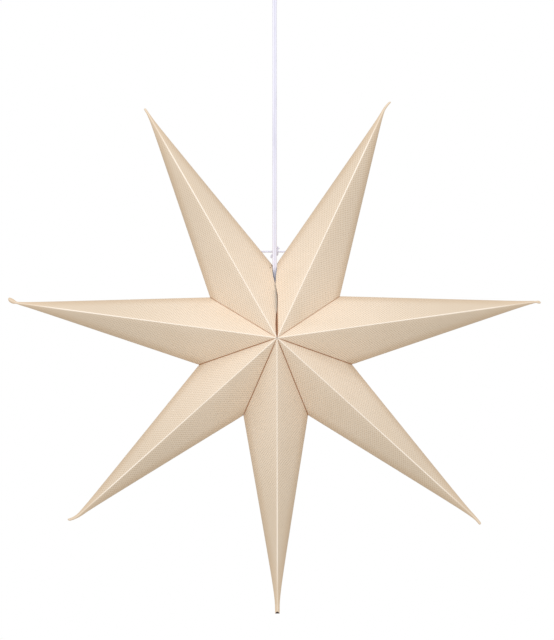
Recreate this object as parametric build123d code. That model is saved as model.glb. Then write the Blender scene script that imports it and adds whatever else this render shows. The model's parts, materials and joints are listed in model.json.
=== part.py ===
from build123d import *

# A seven-pointed star lamp of folded paper, hung by a flat cord from a hook under a small canopy.
# Millimetres, +Z up, the front of the star towards -Y, +X to the right as seen from the front.
# The origin is on the ceiling, in the middle of the mounting plate, and the cord hangs along the Z axis.

import os
from math import atan2, cos, degrees, hypot, radians, sin

# Paper star
reach = 306.0  # centre of the star to the end of a point
valley_reach = 90.2  # centre to where two points part
half_depth = 76.0  # middle plane to the front or back apex
star_drop = 488.0  # ceiling to the centre of the star
paper = 0.5
glue_flap = 6.0
glue_gap = 0.08  # two glued flaps lie this far apart
hub_hole_radius = 1.2  # where the seven folds run together at the apex
punch_radius = 0.9

# Each point clockwise from the slit: name and bearing in degrees, then shares of the reach: its end,
# where its folds aim, where its tail starts, half the tail's width, and the tail's curl to one side.
point_shares = (
    ("point_upper_right", 65.1, 0.993, 0.965, 0.935, 0.0042, -0.0085),
    ("point_right", 9.0, 0.995, 0.988, 0.972, 0.0039, -0.0045),
    ("point_lower_right", -41.3, 1.009, 0.996, 0.968, 0.0052, -0.0055),
    ("point_bottom", -89.6, 0.999, 0.995, 0.945, 0.0092, 0.0),
    ("point_lower_left", -138.6, 1.005, 0.988, 0.958, 0.0052, -0.0135),
    ("point_left", -188.6, 1.002, 0.982, 0.952, 0.0065, -0.0105),
    ("point_upper_left", -240.9, 0.997, 0.985, 0.965, 0.0046, 0.0020),
)
# Bearings of the valleys in degrees, clockwise from the right edge of the slit to its left edge.
valley_bearings = (88.9, 35.8, -16.0, -65.9, -113.7, -163.6, -214.6, -266.8)
# How far out a point's walls bow, as the share of its half depth that the rounded side takes up,
# at shares of the reach.
bow_shares = ((0.0, 0.03), (0.30, 0.03), (0.42, 0.20), (0.64, 0.32), (0.90, 0.36), (1.10, 0.40))
tail_depth_share = 0.0046
tail_bow_share = 0.5
tail_mid_share = 0.55
cavity_end_share = 0.90
open_tail_point = "point_bottom"
tail_bore_share = 0.42  # of half the tail's width
tail_bore_depth = 6.0

# The two edges of the open slit, from where the points part down to the apex: across and along,
# as shares of the valley reach.
slit_left_shares = (
    (-0.050, 1.02), (-0.038, 0.97), (-0.034, 0.83), (-0.011, 0.73), (0.011, 0.57), (0.021, 0.44),
    (0.012, 0.31), (-0.003, 0.17), (-0.002, 0.012),
)
slit_right_shares = (
    (0.023, 1.02), (0.020, 0.95), (0.010, 0.84), (0.006, 0.71), (0.021, 0.57), (0.031, 0.44),
    (0.043, 0.31), (0.029, 0.17), (0.003, 0.012),
)
punch_shares = (-0.066, 0.938)  # the small hole beside the slit, across and along

# Flat twin cord
cord_width = 5.2
cord_thickness = 3.2
core_radius = 0.95
conductor_spacing = 2.0
run_gap = 0.3  # between pieces that move past each other
seat_gap = 0.15  # between pieces that rest on each other
fit_gap = 0.1  # between pieces that are joined

# Tie string through the two points beside the slit
string_radius = 0.95
string_rise = 13.6  # above where the points part
knot_radius = 2.0
stop_knot_radius = 1.8
# Free ends of the string, from the knot's middle, as shares of its radius.
tail_left_shares = (-2.2, 0.5, -3.4)
tail_right_shares = (2.3, 0.4, 2.8)
tail_start_share = 0.6  # of the knot's radius, where a free end leaves it
tail_wire_share = 0.85  # of the string's radius, pulled tight in the free ends

# Ceiling plate and hook
plate_length = 66.0
plate_width = 22.0
plate_thickness = 2.0
plate_corner = 6.0
slot_spacing = 50.0
slot_length = 9.0
slot_radius = 2.25
hook_radius = 2.0
hook_bow = 7.0
hook_bend = 4.0
hook_shank = 9.5
hook_tip_bearing = 30.0  # degrees above level
nut_width = 8.0
nut_height = 3.4
ring_wire = 1.1
ring_bow = 6.0

# Cord clamp and terminal block inside the canopy
tab_radius = 3.5
tab_thickness = 2.0
clamp_width = 15.0
clamp_height = 19.0
clamp_half = 4.5
clamp_drop = 4.2  # from the eye's centre to the top of the clamp
clamp_roof = 2.6
clamp_corner = 1.2
pocket_height = 7.0
pocket_width = 6.4
clamp_screw_radius = 1.2
clamp_screw_inset = 2.5
clamp_screw_rise = 5.5
clamp_screw_head = 2.2
clamp_screw_head_height = 1.4
core_rise = 2.3
core_bend = 1.8
block_width = 17.0
block_depth = 9.0
block_height = 13.0
block_offset = 17.5
block_drop = 18.0
block_corner = 1.2
barrel_radius = 2.4
barrel_bore = 1.25
barrel_spacing = 8.0
block_screw_radius = 1.5

# Canopy
canopy_gap = 6.0  # between the rim and the ceiling
canopy_radius = 42.0
canopy_height = 56.0
canopy_wall = 1.8
canopy_round = 27.0
canopy_neck_radius = 8.0
canopy_neck_height = 10.0
canopy_neck_round = 2.5
canopy_edge_round = 0.5
canopy_bore = 3.6
canopy_screw_radius = 1.5
canopy_screw_head = 3.2
canopy_screw_head_length = 4.0

# Lampholder
neck_drop = 24.2  # from where the points part down to the top of the neck
neck_height = 8.0
neck_radius = 5.5
neck_bore = 3.0
neck_round = 0.6
cap_radius = 14.0
cap_height = 17.0
cap_round = 5.0
cap_wall = 1.5
skirt_height = 7.0
body_height = 34.0
body_wall = 1.6
body_taper = 0.9
body_lip = 2.6
body_round = 0.8
mouth_radius = 9.4
ledge = 0.6
grip_screw_radius = 1.1
grip_screw_head = 2.0
grip_screw_head_length = 1.4
grip_screw_drop = 3.0
insert_height = 6.0
post_width = 4.6
post_depth = 6.4
post_height = 5.0
post_offset = 6.2
terminal_screw_radius = 1.2
lead_radius = 0.9
lead_drop = 2.1
lead_bend = 1.2
lead_depth = 3.0  # into the post
socket_radius = 7.15
socket_wall = 0.45
socket_height = 20.0
socket_flange = 9.6
tongue_width = 4.0
tongue_thickness = 0.4
tongue_length = 11.0
tongue_drop = 2.0
tongue_step_share = 0.3  # of the length, where the tongue turns down

# Wire hanger on the lampholder's neck
hanger_wire = 1.0
hanger_weld_share = 1.3  # of the wire's radius, the bead where an arm meets the ring
hanger_bend = 4.0
hanger_knee = 10.0  # along the fold from where the points part
hanger_end = 30.0

# Bulb with a small screw base
bulb_radius = 22.5
bulb_length = 78.0
bulb_wall = 0.8
bulb_neck = 5.0
base_radius = 6.8
base_wall = 0.35
base_height = 16.0
insulator_height = 3.0
insulator_radius = 5.8
contact_radius = 2.6
contact_height = 1.5
contact_round = 0.7
stem_tip_radius = 1.6
stem_flange = 0.9
stem_height = 19.0
filament_radius = 0.9
filament_length = 25.0
filament_count = 4
filament_circle = 6.5
filament_wire = 0.4

# Worked out from the sizes above
overrun = reach
valley_height = -star_drop + valley_reach
neck_top = neck_drop - valley_height
hook_base = hook_shank + (hook_bow**2 + 2 * hook_bend * hook_bow) ** 0.5
hook_bottom = -(hook_base + hook_bow)
ring_top = hook_bottom + hook_radius + seat_gap + ring_wire
ring_middle = ring_top - ring_bow
eye_height = ring_middle - ring_bow
clamp_top = eye_height - clamp_drop
pocket_floor = clamp_top - pocket_height
pocket_top = clamp_top - clamp_roof
clamp_bottom = clamp_top - clamp_height
clamp_screw_height = clamp_bottom + clamp_screw_rise
clamp_screw_offset = clamp_width / 2 - clamp_screw_inset
block_bottom = -(block_drop + block_height)
canopy_floor = -(canopy_gap + canopy_height)
canopy_bottom = canopy_floor - canopy_neck_height
canopy_screw_height = (canopy_floor + canopy_bottom) / 2
cap_top = -(neck_top + neck_height)
cap_bottom = cap_top - cap_height
body_top = cap_bottom + skirt_height
body_bottom = body_top - body_height
skirt_radius = cap_radius - cap_wall - fit_gap
seat_radius = skirt_radius - body_wall
cord_top = pocket_floor - seat_gap
cord_bottom = cap_top - cap_wall - run_gap
insert_top = body_top - body_wall
insert_bottom = insert_top - insert_height
post_top = insert_top + post_height
socket_top = insert_bottom - fit_gap
socket_bottom = socket_top - socket_height
bulb_top = socket_top - tongue_drop - tongue_thickness - run_gap
insulator_top = bulb_top - contact_height
base_top = insulator_top - insulator_height
base_bottom = base_top - base_height
bulb_bottom = bulb_top - bulb_length
bulb_middle = bulb_bottom + bulb_radius
stem_bottom = base_bottom - stem_height
filament_top = bulb_middle + filament_length / 2
string_height = valley_height + string_rise
string_depth = cord_width / 2 + run_gap + knot_radius
hanger_weld = hanger_weld_share * hanger_wire
hanger_ring = neck_radius + fit_gap + hanger_weld
hanger_height = cap_top + fit_gap + hanger_weld


def lathe(*corners):
    """Turn an outline of (radius, height) or (radius, height, rounding) corners about the Z axis."""
    places = [corner[:2] for corner in corners]
    rounds = [corner[2] if len(corner) > 2 else 0 for corner in corners]
    outline = FilletPolyline(*places, radius=rounds, close=True)
    return revolve(Plane.XZ * make_face(outline), Axis.Z)


def upright(radius, bottom, top, x=0, y=0):
    """A plain cylinder along Z between two heights."""
    return Pos(x, y, bottom) * extrude(Circle(radius), top - bottom)


def block(width, depth, height, x=0, y=0, z=0):
    """A box round its middle."""
    return Pos(x, y, z) * Box(width, depth, height)


def rod(start, end, radius):
    """A straight round rod from one place to another."""
    axis = Vector(*end) - Vector(*start)
    return extrude(Plane(origin=start, z_dir=axis) * Circle(radius), axis.length)


def bent_wire(points, bends, radius):
    """A round wire along straight runs with rounded bends."""
    path = FilletPolyline(*points, radius=bends)
    start = Plane(origin=path @ 0, z_dir=path % 0)
    return sweep(start * Circle(radius), path)


def cord_section(clearance=0):
    """The cord's flat section with round sides, wider in X, with any clearance round it."""
    height = cord_thickness + 2 * clearance
    return SlotOverall(cord_width + 2 * clearance, height)


def place(bearing, along, across, depth):
    """A place in the star: out along a bearing, across it in the star's plane, and behind that plane."""
    angle = radians(bearing)
    x = along * cos(angle) - across * sin(angle)
    z = along * sin(angle) + across * cos(angle)
    return (x, depth, z - star_drop)


def bow_at(share):
    """How much of the half depth the rounded side takes, at a share of the reach."""
    for (low, low_bow), (high, high_bow) in zip(bow_shares, bow_shares[1:]):
        if share <= high:
            return low_bow + (high_bow - low_bow) * (share - low) / (high - low)
    return bow_shares[-1][1]


class StarPoint:
    """One folded point: its bearings, its sections and the walls, flaps and tail made from them."""

    def __init__(self, index):
        row = point_shares[index]
        self.name, self.bearing = row[:2]
        self.end, self.aim, self.tail, self.tail_width, self.curl = (share * reach for share in row[2:])
        self.valleys = (valley_bearings[index], valley_bearings[index + 1])
        self.on_left_of_slit = index == len(point_shares) - 1
        self.on_right_of_slit = index == 0
        self.side_widths = [self.base_width(valley) for valley in self.valleys]

    def base_width(self, valley):
        """Half width at the centre, so that the side fold runs through the end of the valley."""
        turn = abs(radians(valley - self.bearing))
        return self.aim * valley_reach * sin(turn) / (self.aim - valley_reach * cos(turn))

    def sizes(self, along, inset=0):
        """Half widths to both sides and half depth, drawn in by an inset measured square to the wall."""
        taper = 1 - along / self.aim
        widths = [width * taper for width in self.side_widths]
        depth = half_depth * taper
        mean = sum(widths) / len(widths)
        shrink = 1 - inset * hypot(mean, depth) / (mean * depth)
        return [width * shrink for width in widths], depth * shrink

    def section(self, along, widths, depth, bow, across=0):
        """A closed section with sharp folds in front and behind and rounded sides."""
        left, right = widths[0], -widths[1]

        def spot(sideways, deep):
            return place(self.bearing, along, across + sideways, deep)

        front, back = spot(0, -depth), spot(0, depth)
        edges = [
            Bezier(front, spot(left, -bow * depth), spot(left, 0)),
            Bezier(spot(left, 0), spot(left, bow * depth), back),
            Bezier(back, spot(right, bow * depth), spot(right, 0)),
            Bezier(spot(right, 0), spot(right, -bow * depth), front),
        ]
        return make_face(edges)

    def fold_section(self, along, inset=0):
        """A section of the straight folded part."""
        widths, depth = self.sizes(along, inset)
        return self.section(along, widths, depth, bow_at(along / reach))

    def stations(self, last):
        """Where the straight part has its sections, up to the last."""
        return [share * reach for share, bow in bow_shares if share * reach < last] + [last]

    def outer(self):
        """The point's full outer shape with its pinched and curled tail."""
        faces = [self.fold_section(along) for along in self.stations(self.tail)]
        depth = tail_depth_share * reach
        length = self.end - self.tail
        middle = self.tail + tail_mid_share * length
        wide = [self.tail_width] * 2
        tip = [self.tail_width * (1 - tail_mid_share / 2)] * 2
        curl_at_middle = self.curl * tail_mid_share**2
        faces.append(self.section(middle, wide, depth, tail_bow_share, curl_at_middle))
        faces.append(self.section(self.end, tip, depth * tail_mid_share, tail_bow_share, self.curl))
        return loft(faces, ruled=True)

    def inner(self, inset, last):
        """The straight part drawn in by an inset, as a cutter."""
        return loft([self.fold_section(along, inset) for along in self.stations(last)], ruled=True)

    def slit_line(self, shares, shift):
        """An edge of the slit as places in the star's plane, moved sideways and run on outwards."""
        line = [(across * valley_reach + shift, along * valley_reach) for across, along in shares]
        return [(line[0][0], overrun)] + line

    def valley_line(self, valley, side, shift):
        """A straight valley as places in the star's plane, from outside to the centre."""
        angle = radians(valley)

        def spot(out):
            across = side * shift
            return (cos(angle) * out - sin(angle) * across, sin(angle) * out + cos(angle) * across)

        return [spot(overrun), spot(hub_hole_radius / 2)]

    def edge_line(self, which, shift):
        """The point's edge towards one neighbour, drawn in by a shift."""
        if which == 0 and self.on_right_of_slit:
            return self.slit_line(slit_right_shares, shift)
        if which == 1 and self.on_left_of_slit:
            return self.slit_line(slit_left_shares, -shift)
        side = -1 if which == 0 else 1
        return self.valley_line(self.valleys[which], side, glue_gap / 2 + shift)

    def prism(self, line):
        """A prism through the star along Y on a closed outline in the star's plane."""
        outline = Pos(0, -star_drop) * make_face(Polyline(*line, close=True))
        return extrude(Plane.XZ * outline, half_depth + overrun, both=True)

    def wedge(self):
        """The space between the point's two neighbours."""
        angle = radians(self.bearing)
        beyond = [(cos(angle) * 2 * overrun, sin(angle) * 2 * overrun)]
        return self.prism(self.edge_line(0, 0) + self.edge_line(1, 0)[::-1] + beyond)

    def bands(self):
        """Where the folded-in flaps lie: a paper's thickness along both edges."""
        bands = [self.prism(self.edge_line(w, 0) + self.edge_line(w, paper)[::-1]) for w in (0, 1)]
        return bands[0] + bands[1]

    def corner(self, which):
        """Where the point parts from a neighbour."""
        return Vector(*place(self.valleys[which], valley_reach, 0, 0))

    def under_fold(self, which, along, radius):
        """Where a wire's middle runs along the inside of the side fold."""
        corner = self.corner(which)
        fold = (Vector(*place(self.bearing, self.aim, 0, 0)) - corner).normalized()
        inwards = Vector(fold.Z, 0, -fold.X) * (1 if which == 0 else -1)
        slope = atan2(half_depth, self.side_widths[which])
        return corner + fold * along + inwards * ((radius + seat_gap + paper) / sin(slope))

    def wall_crossing(self, which, clearance):
        """Where a line along X at the string's place runs through the back wall, a clearance inside."""
        corner = self.corner(which)
        tip = Vector(*place(self.bearing, self.aim, 0, 0))
        square = (tip - corner).cross(Vector(0, half_depth, -star_drop) - corner).normalized()
        inside = Vector(*place(self.bearing, valley_reach, 0, 0)) - corner
        side = 1 if square.dot(inside) > 0 else -1
        level = square.dot(corner) + side * clearance
        return (level - square.Y * string_depth - square.Z * string_height) / square.X

    def tail_bores(self):
        """The two open ends of a tail that isn't pressed shut."""
        offset = self.tail_width * (1 - tail_mid_share / 2) / 2
        bores = Part()
        for across in (-offset, offset):
            start = place(self.bearing, self.end - tail_bore_depth, across, 0)
            end = place(self.bearing, self.end + tail_bore_depth, across, 0)
            bores += rod(start, end, tail_bore_share * offset * 2)
        return bores

    def solid(self):
        """The finished point."""
        body = self.outer() & self.wedge()
        hollow = self.inner(paper, cavity_end_share * reach)
        window = self.inner(glue_flap, bow_shares[1][0] * reach)
        point = body - (hollow - (self.bands() - window))
        point -= Pos(0, 0, -star_drop) * Rot(90, 0, 0) * Cylinder(hub_hole_radius, 2 * overrun)
        if self.name == open_tail_point:
            point -= self.tail_bores()
        if self.on_left_of_slit or self.on_right_of_slit:
            point -= cord_notch() + string_cutter()
        if self.on_left_of_slit:
            point -= punched_hole()
        return point


def cord_notch():
    """Room for the cord where it enters between the two points beside the slit."""
    return upright(cord_width / 2 + run_gap, -neck_top, string_height)


def string_cutter():
    """The punched holes that the tie string runs through."""
    left, right = string_ends(0)
    start = (left, string_depth, string_height)
    return rod(start, (right, string_depth, string_height), string_radius + fit_gap)


def punched_hole():
    """The small hole beside the slit in the front of the upper left point."""
    across, along = (share * valley_reach for share in punch_shares)
    return rod((across, -half_depth, along - star_drop), (across, 0, along - star_drop), punch_radius)


def string_ends(clearance):
    """How far left and right the string runs until it is a clearance inside the paper's inner side."""
    left = points[-1].wall_crossing(1, paper + clearance)
    right = points[0].wall_crossing(0, paper + clearance)
    return left, right


def tie_string():
    """The string through both points, with a stop knot inside each."""
    left, right = string_ends(stop_knot_radius + seat_gap)
    line = rod((left, string_depth, string_height), (right, string_depth, string_height), string_radius)
    knots = [Pos(x, string_depth, string_height) * Sphere(stop_knot_radius) for x in (left, right)]
    return line + knots[0] + knots[1]


def string_knot():
    """The knot behind the cord, tied round the string, with its two free ends."""
    knot = Sphere(knot_radius)
    for tail_shares in (tail_left_shares, tail_right_shares):
        start = [tail_start_share * knot_radius * share / hypot(*tail_shares) for share in tail_shares]
        end = [knot_radius * share for share in tail_shares]
        knot += rod(start, end, string_radius * tail_wire_share)
        knot += Pos(*end) * Sphere(string_radius * tail_wire_share)
    knot -= Rot(0, 90, 0) * Cylinder(string_radius + fit_gap, 2 * overrun)
    return Pos(0, string_depth, string_height) * knot


def wire_hanger():
    """A steel wire ring on the lampholder's neck with an arm up under the fold of each point beside it."""
    ring = Pos(0, 0, hanger_height) * Torus(hanger_ring, hanger_wire)
    for point, which, side in ((points[-1], 1, -1), (points[0], 0, 1)):
        start = (side * hanger_ring, 0, hanger_height)
        knee, end = (point.under_fold(which, along, hanger_wire) for along in (hanger_knee, hanger_end))
        ring += Pos(*start) * Sphere(hanger_weld)
        ring += bent_wire([start, knee, end], hanger_bend, hanger_wire)
    return ring


def ceiling_plate():
    """A steel strap with two slots for ceiling screws and a hole for the hook's shank."""
    plate = extrude(RectangleRounded(plate_length, plate_width, plate_corner), -plate_thickness)
    for x in (-slot_spacing / 2, slot_spacing / 2):
        plate -= Pos(x, 0) * extrude(SlotOverall(slot_length, 2 * slot_radius), plate_thickness, both=True)
    return plate - upright(hook_radius + fit_gap, -2 * plate_thickness, plate_thickness)


def ceiling_hook():
    """A round steel hook whose bow lies straight below its shank."""
    turn = degrees(atan2(hook_base - hook_shank, hook_bend))
    sweep_angle = 180 + turn + hook_tip_bearing
    shank = Line((0, -seat_gap), (0, -hook_shank))
    bend = CenterArc((-hook_bend, -hook_shank), hook_bend, 0, -turn)
    bow = CenterArc((0, -hook_base), hook_bow, 180 - turn, sweep_angle)
    path = Plane.XZ * Wire([shank, bend, bow])
    wire = sweep(Plane(origin=(0, 0, -seat_gap), z_dir=(0, 0, -1)) * Circle(hook_radius), path)
    tip_angle = radians(hook_tip_bearing)
    tip = (hook_bow * cos(tip_angle), 0, hook_bow * sin(tip_angle) - hook_base)
    return wire + Pos(*tip) * Sphere(hook_radius)


def hook_nut():
    """The hexagon nut that holds the hook in the plate."""
    nut = extrude(RegularPolygon(nut_width / 2, 6, major_radius=False), -nut_height)
    return Pos(0, 0, -plate_thickness) * nut - upright(hook_radius + fit_gap, -hook_shank, 0)


def hook_ring():
    """A welded steel ring that hangs on the hook."""
    return Pos(0, 0, ring_middle) * Rot(0, 90, 0) * Torus(ring_bow, ring_wire)


def clamp_screw_places():
    """Where the clamp's two screws sit, either side of the cord."""
    return [(x, clamp_screw_height) for x in (-clamp_screw_offset, clamp_screw_offset)]


def clamp_block(front, back, bottom, top):
    """A piece of the clamp between two depths and two heights, with rounded long edges."""
    body = block(clamp_width, back - front, top - bottom, 0, (front + back) / 2, (top + bottom) / 2)
    return fillet(body.edges().filter_by(Axis.Z), clamp_corner)


def clamp_back():
    """The clamp's back half with its roof and the eye on top."""
    body = clamp_block(-clamp_half, clamp_half, clamp_bottom, clamp_top)
    front_height = pocket_top - clamp_bottom
    front = block(2 * clamp_width, 2 * clamp_half, 2 * front_height, 0, -clamp_half, clamp_bottom)
    pocket_rise = pocket_top - pocket_floor
    pocket = block(pocket_width, 4 * clamp_half, pocket_rise, 0, clamp_half, (pocket_floor + pocket_top) / 2)
    tab = Plane.XZ * (
        Pos(0, eye_height) * Circle(tab_radius)
        + Pos(0, eye_height - clamp_drop / 2) * Rectangle(2 * tab_radius, clamp_drop)
    )
    hole = Pos(0, 0, eye_height) * Rot(90, 0, 0) * Cylinder(ring_wire + run_gap, clamp_width)
    body = body - front - pocket + extrude(tab, tab_thickness / 2, both=True) - hole
    return body - cord_channel() - clamp_screw_holes()


def clamp_front():
    """The clamp's front half, pressed on the cord by two screws."""
    body = clamp_block(-clamp_half, -fit_gap, clamp_bottom, pocket_top - fit_gap)
    return body - cord_channel() - clamp_screw_holes()


def cord_channel():
    """Room for the flat cord in the clamp."""
    return Pos(0, 0, clamp_bottom) * extrude(cord_section(fit_gap), pocket_top - clamp_bottom)


def clamp_screw_holes():
    """The clamp's two screw holes, open in front and blind behind."""
    holes = Part()
    for x, z in clamp_screw_places():
        holes += rod((x, -2 * clamp_half, z), (x, clamp_half / 2, z), clamp_screw_radius + fit_gap)
    return holes


def clamp_screws():
    """Two pan-head screws from the front."""
    screws = []
    for x, z in clamp_screw_places():
        face = -clamp_half - fit_gap
        shank = rod((x, face, z), (x, clamp_half / 2 - fit_gap, z), clamp_screw_radius)
        screws.append(shank + rod((x, face - clamp_screw_head_height, z), (x, face, z), clamp_screw_head))
    return Compound(screws)


def cord_cores():
    """The cord's two cores, from its end in the clamp back and up into the terminal block."""
    cores = []
    for side in (-1, 1):
        inner = side * conductor_spacing / 2
        outer = side * barrel_spacing / 2
        level = cord_top + core_rise
        points_on_way = [
            (inner, 0, cord_top),
            (inner, 0, level),
            (inner, 2 * clamp_half, level),
            (outer, block_offset, (level + block_bottom) / 2),
            (outer, block_offset, block_bottom + block_height / 3),
        ]
        cores.append(bent_wire(points_on_way, core_bend, core_radius))
    return Compound(cores)


def block_places():
    """The middles of the terminal block's two ways."""
    middle = block_bottom + block_height / 2
    return [Pos(x, block_offset, middle) for x in (-barrel_spacing / 2, barrel_spacing / 2)]


def block_screw(place, level, radius, length):
    """One clamping screw of the terminal block, or its hole, from the front face towards the barrel."""
    start = place * Pos(0, -block_depth / 2, level)
    return start * Rot(-90, 0, 0) * Pos(0, 0, length / 2) * Cylinder(radius, length)


def terminal_block():
    """The plastic body with two through ways and four screw holes."""
    body = block(block_width, block_depth, block_height, 0, block_offset, block_bottom + block_height / 2)
    body = fillet(body.edges().filter_by(Axis.Z), block_corner)
    for place_of_way in block_places():
        body -= place_of_way * Cylinder(barrel_radius + fit_gap, 2 * block_height)
        for level in (-block_height / 4, block_height / 4):
            body -= block_screw(place_of_way, level, block_screw_radius + fit_gap, block_depth / 2)
    return body


def block_barrels():
    """The two brass barrels with their bores and screw holes."""
    barrels = []
    for place_of_way in block_places():
        barrel = place_of_way * Cylinder(barrel_radius, block_height - 2 * block_corner)
        barrel -= place_of_way * Cylinder(barrel_bore, 2 * block_height)
        for level in (-block_height / 4, block_height / 4):
            barrel -= block_screw(place_of_way, level, block_screw_radius + fit_gap, block_depth / 2)
        barrels.append(barrel)
    return Compound(barrels)


def block_screws():
    """Four screws that press the cores into the barrels."""
    length = block_depth / 2 - core_radius - fit_gap
    screws = []
    for place_of_way in block_places():
        for level in (-block_height / 4, block_height / 4):
            screws.append(block_screw(place_of_way, level, block_screw_radius, length))
    return Compound(screws)


def canopy_cup():
    """A bell cup with a neck at the bottom that the cord runs through."""
    inner_radius = canopy_radius - canopy_wall
    inner_floor = canopy_floor + canopy_wall
    cup = lathe(
        (canopy_bore, canopy_bottom),
        (canopy_neck_radius, canopy_bottom, canopy_wall),
        (canopy_neck_radius, canopy_floor, canopy_neck_round),
        (canopy_radius, canopy_floor, canopy_round),
        (canopy_radius, -canopy_gap, canopy_edge_round),
        (inner_radius, -canopy_gap, canopy_edge_round),
        (inner_radius, inner_floor, canopy_round - canopy_wall),
        (canopy_bore, inner_floor),
    )
    start = (0, 0, canopy_screw_height)
    end = (0, 2 * canopy_neck_radius, canopy_screw_height)
    return cup - rod(start, end, canopy_screw_radius + fit_gap)


def canopy_screw():
    """The thumb screw in the neck that grips the cord."""
    seat = canopy_neck_radius + fit_gap
    z = canopy_screw_height
    shank = rod((0, cord_thickness / 2 + run_gap, z), (0, seat, z), canopy_screw_radius)
    return shank + rod((0, seat, z), (0, seat + canopy_screw_head_length, z), canopy_screw_head)


def pendant_cord():
    """The flat twin cord, straight down from the clamp into the lampholder."""
    return Pos(0, 0, cord_bottom) * extrude(cord_section(), cord_top - cord_bottom)


def holder_cap():
    """The lampholder's cap with the neck that the cord enters by."""
    cap = lathe(
        (neck_bore, -neck_top),
        (neck_radius, -neck_top, neck_round),
        (neck_radius, cap_top),
        (cap_radius, cap_top, cap_round),
        (cap_radius, cap_bottom),
        (cap_radius - cap_wall, cap_bottom),
        (cap_radius - cap_wall, cap_top - cap_wall, cap_round - cap_wall),
        (neck_bore, cap_top - cap_wall),
    )
    height = -neck_top - grip_screw_drop
    return cap - rod((0, 0, height), (0, 2 * neck_radius, height), grip_screw_radius + fit_gap)


def grip_screw():
    """The small screw that grips the cord in the neck."""
    height = -neck_top - grip_screw_drop
    seat = neck_radius + fit_gap
    shank = rod((0, neck_bore, height), (0, seat, height), grip_screw_radius)
    return shank + rod((0, seat, height), (0, seat + grip_screw_head_length, height), grip_screw_head)


def holder_body():
    """The lampholder's body, screwed up into the cap, with a seat for the insert and an open mouth."""
    low_radius = cap_radius - body_taper
    return lathe(
        (skirt_radius, body_top),
        (skirt_radius, cap_bottom - fit_gap),
        (cap_radius, cap_bottom - fit_gap),
        (low_radius, body_bottom, body_round),
        (mouth_radius, body_bottom, body_round),
        (mouth_radius, body_bottom + body_lip),
        (seat_radius - ledge, body_bottom + body_lip),
        (seat_radius - ledge, insert_bottom - fit_gap),
        (seat_radius, insert_bottom - fit_gap),
        (seat_radius, body_top),
    )


def holder_insert():
    """The insert with two terminal posts that carry the leads."""
    insert = upright(seat_radius - fit_gap, insert_bottom, insert_top)
    for side in (-1, 1):
        middle = side * post_offset
        insert += block(post_width, post_depth, post_height, middle, 0, insert_top + post_height / 2)
        insert -= upright(lead_radius + fit_gap, post_top - lead_depth, post_top + lead_depth, middle)
        insert -= terminal_screw(side, terminal_screw_radius + fit_gap, 0)
    return insert


def terminal_screw(side, radius, clearance):
    """One terminal screw, from the outer side of its post in to the lead."""
    level = post_top - lead_depth / 2
    inner = side * (post_offset + lead_radius + clearance)
    outer = side * (post_offset + post_width / 2 + clearance)
    return rod((inner, 0, level), (outer, 0, level), radius)


def terminal_screws():
    """The two terminal screws."""
    return Compound([terminal_screw(side, terminal_screw_radius, fit_gap) for side in (-1, 1)])


def holder_leads():
    """The two leads from the cord's end down into the terminal posts."""
    leads = []
    for side in (-1, 1):
        inner = side * conductor_spacing / 2
        outer = side * post_offset
        level = cord_bottom - run_gap - lead_drop
        way = [
            (inner, 0, cord_bottom - run_gap),
            (inner, 0, level),
            (outer, 0, level),
            (outer, 0, post_top - lead_depth + fit_gap),
        ]
        leads.append(bent_wire(way, lead_bend, lead_radius))
    return Compound(leads)


def screw_socket():
    """The brass sleeve that takes the bulb's base, with a flange under the insert."""
    outer = socket_radius + socket_wall
    return lathe(
        (socket_radius, socket_bottom),
        (outer, socket_bottom),
        (outer, socket_top - socket_wall),
        (socket_flange, socket_top - socket_wall),
        (socket_flange, socket_top),
        (socket_radius, socket_top),
    )


def contact_tongue():
    """The springy brass tongue over the bulb's centre contact."""
    step = tongue_step_share * tongue_length
    line = [
        (tongue_length / 2, socket_top),
        (step, socket_top),
        (step - tongue_drop, socket_top - tongue_drop),
        (-step, socket_top - tongue_drop),
    ]
    under = [(x, z - tongue_thickness) for x, z in line[::-1]]
    strip = Plane.XZ * make_face(Polyline(*line, *under, close=True))
    return extrude(strip, tongue_width / 2, both=True)


def bulb_outline(radius, neck, bottom, top):
    """The bulb's outline from the top of its neck to the bottom of its globe."""
    neck_end = top - bulb_neck
    narrow = (neck, neck_end)
    wide = (radius, bulb_middle)
    pull = bulb_radius / 2
    return [
        Line((neck, top), narrow),
        Bezier(narrow, (neck, neck_end - bulb_neck), (radius, bulb_middle + pull), wide),
        CenterArc((0, bulb_middle), radius, 0, -90),
    ]


def bulb_glass():
    """The hollow glass globe with its neck."""
    outer = bulb_outline(bulb_radius, base_radius, bulb_bottom, base_bottom)
    inner = bulb_outline(bulb_radius - bulb_wall, base_radius - bulb_wall, bulb_bottom, base_bottom)
    rim = Line((base_radius, base_bottom), (base_radius - bulb_wall, base_bottom))
    foot = Line((0, bulb_bottom), (0, bulb_bottom + bulb_wall))
    return revolve(Plane.XZ * make_face([*outer, *inner, rim, foot]), Axis.Z)


def bulb_base():
    """The bulb's metal screw base."""
    return lathe(
        (base_radius - base_wall, base_bottom),
        (base_radius, base_bottom),
        (base_radius, base_top, contact_round),
        (insulator_radius - base_wall, base_top),
        (insulator_radius - base_wall, base_top - base_wall),
        (base_radius - base_wall, base_top - base_wall),
    )


def bulb_insulator():
    """The glass ring between the base and the centre contact."""
    return lathe(
        (0, base_top), (insulator_radius, base_top), (contact_radius, insulator_top), (0, insulator_top)
    )


def bulb_contact():
    """The centre contact."""
    return lathe(
        (0, insulator_top),
        (contact_radius, insulator_top),
        (contact_radius, bulb_top, contact_round),
        (0, bulb_top),
    )


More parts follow.
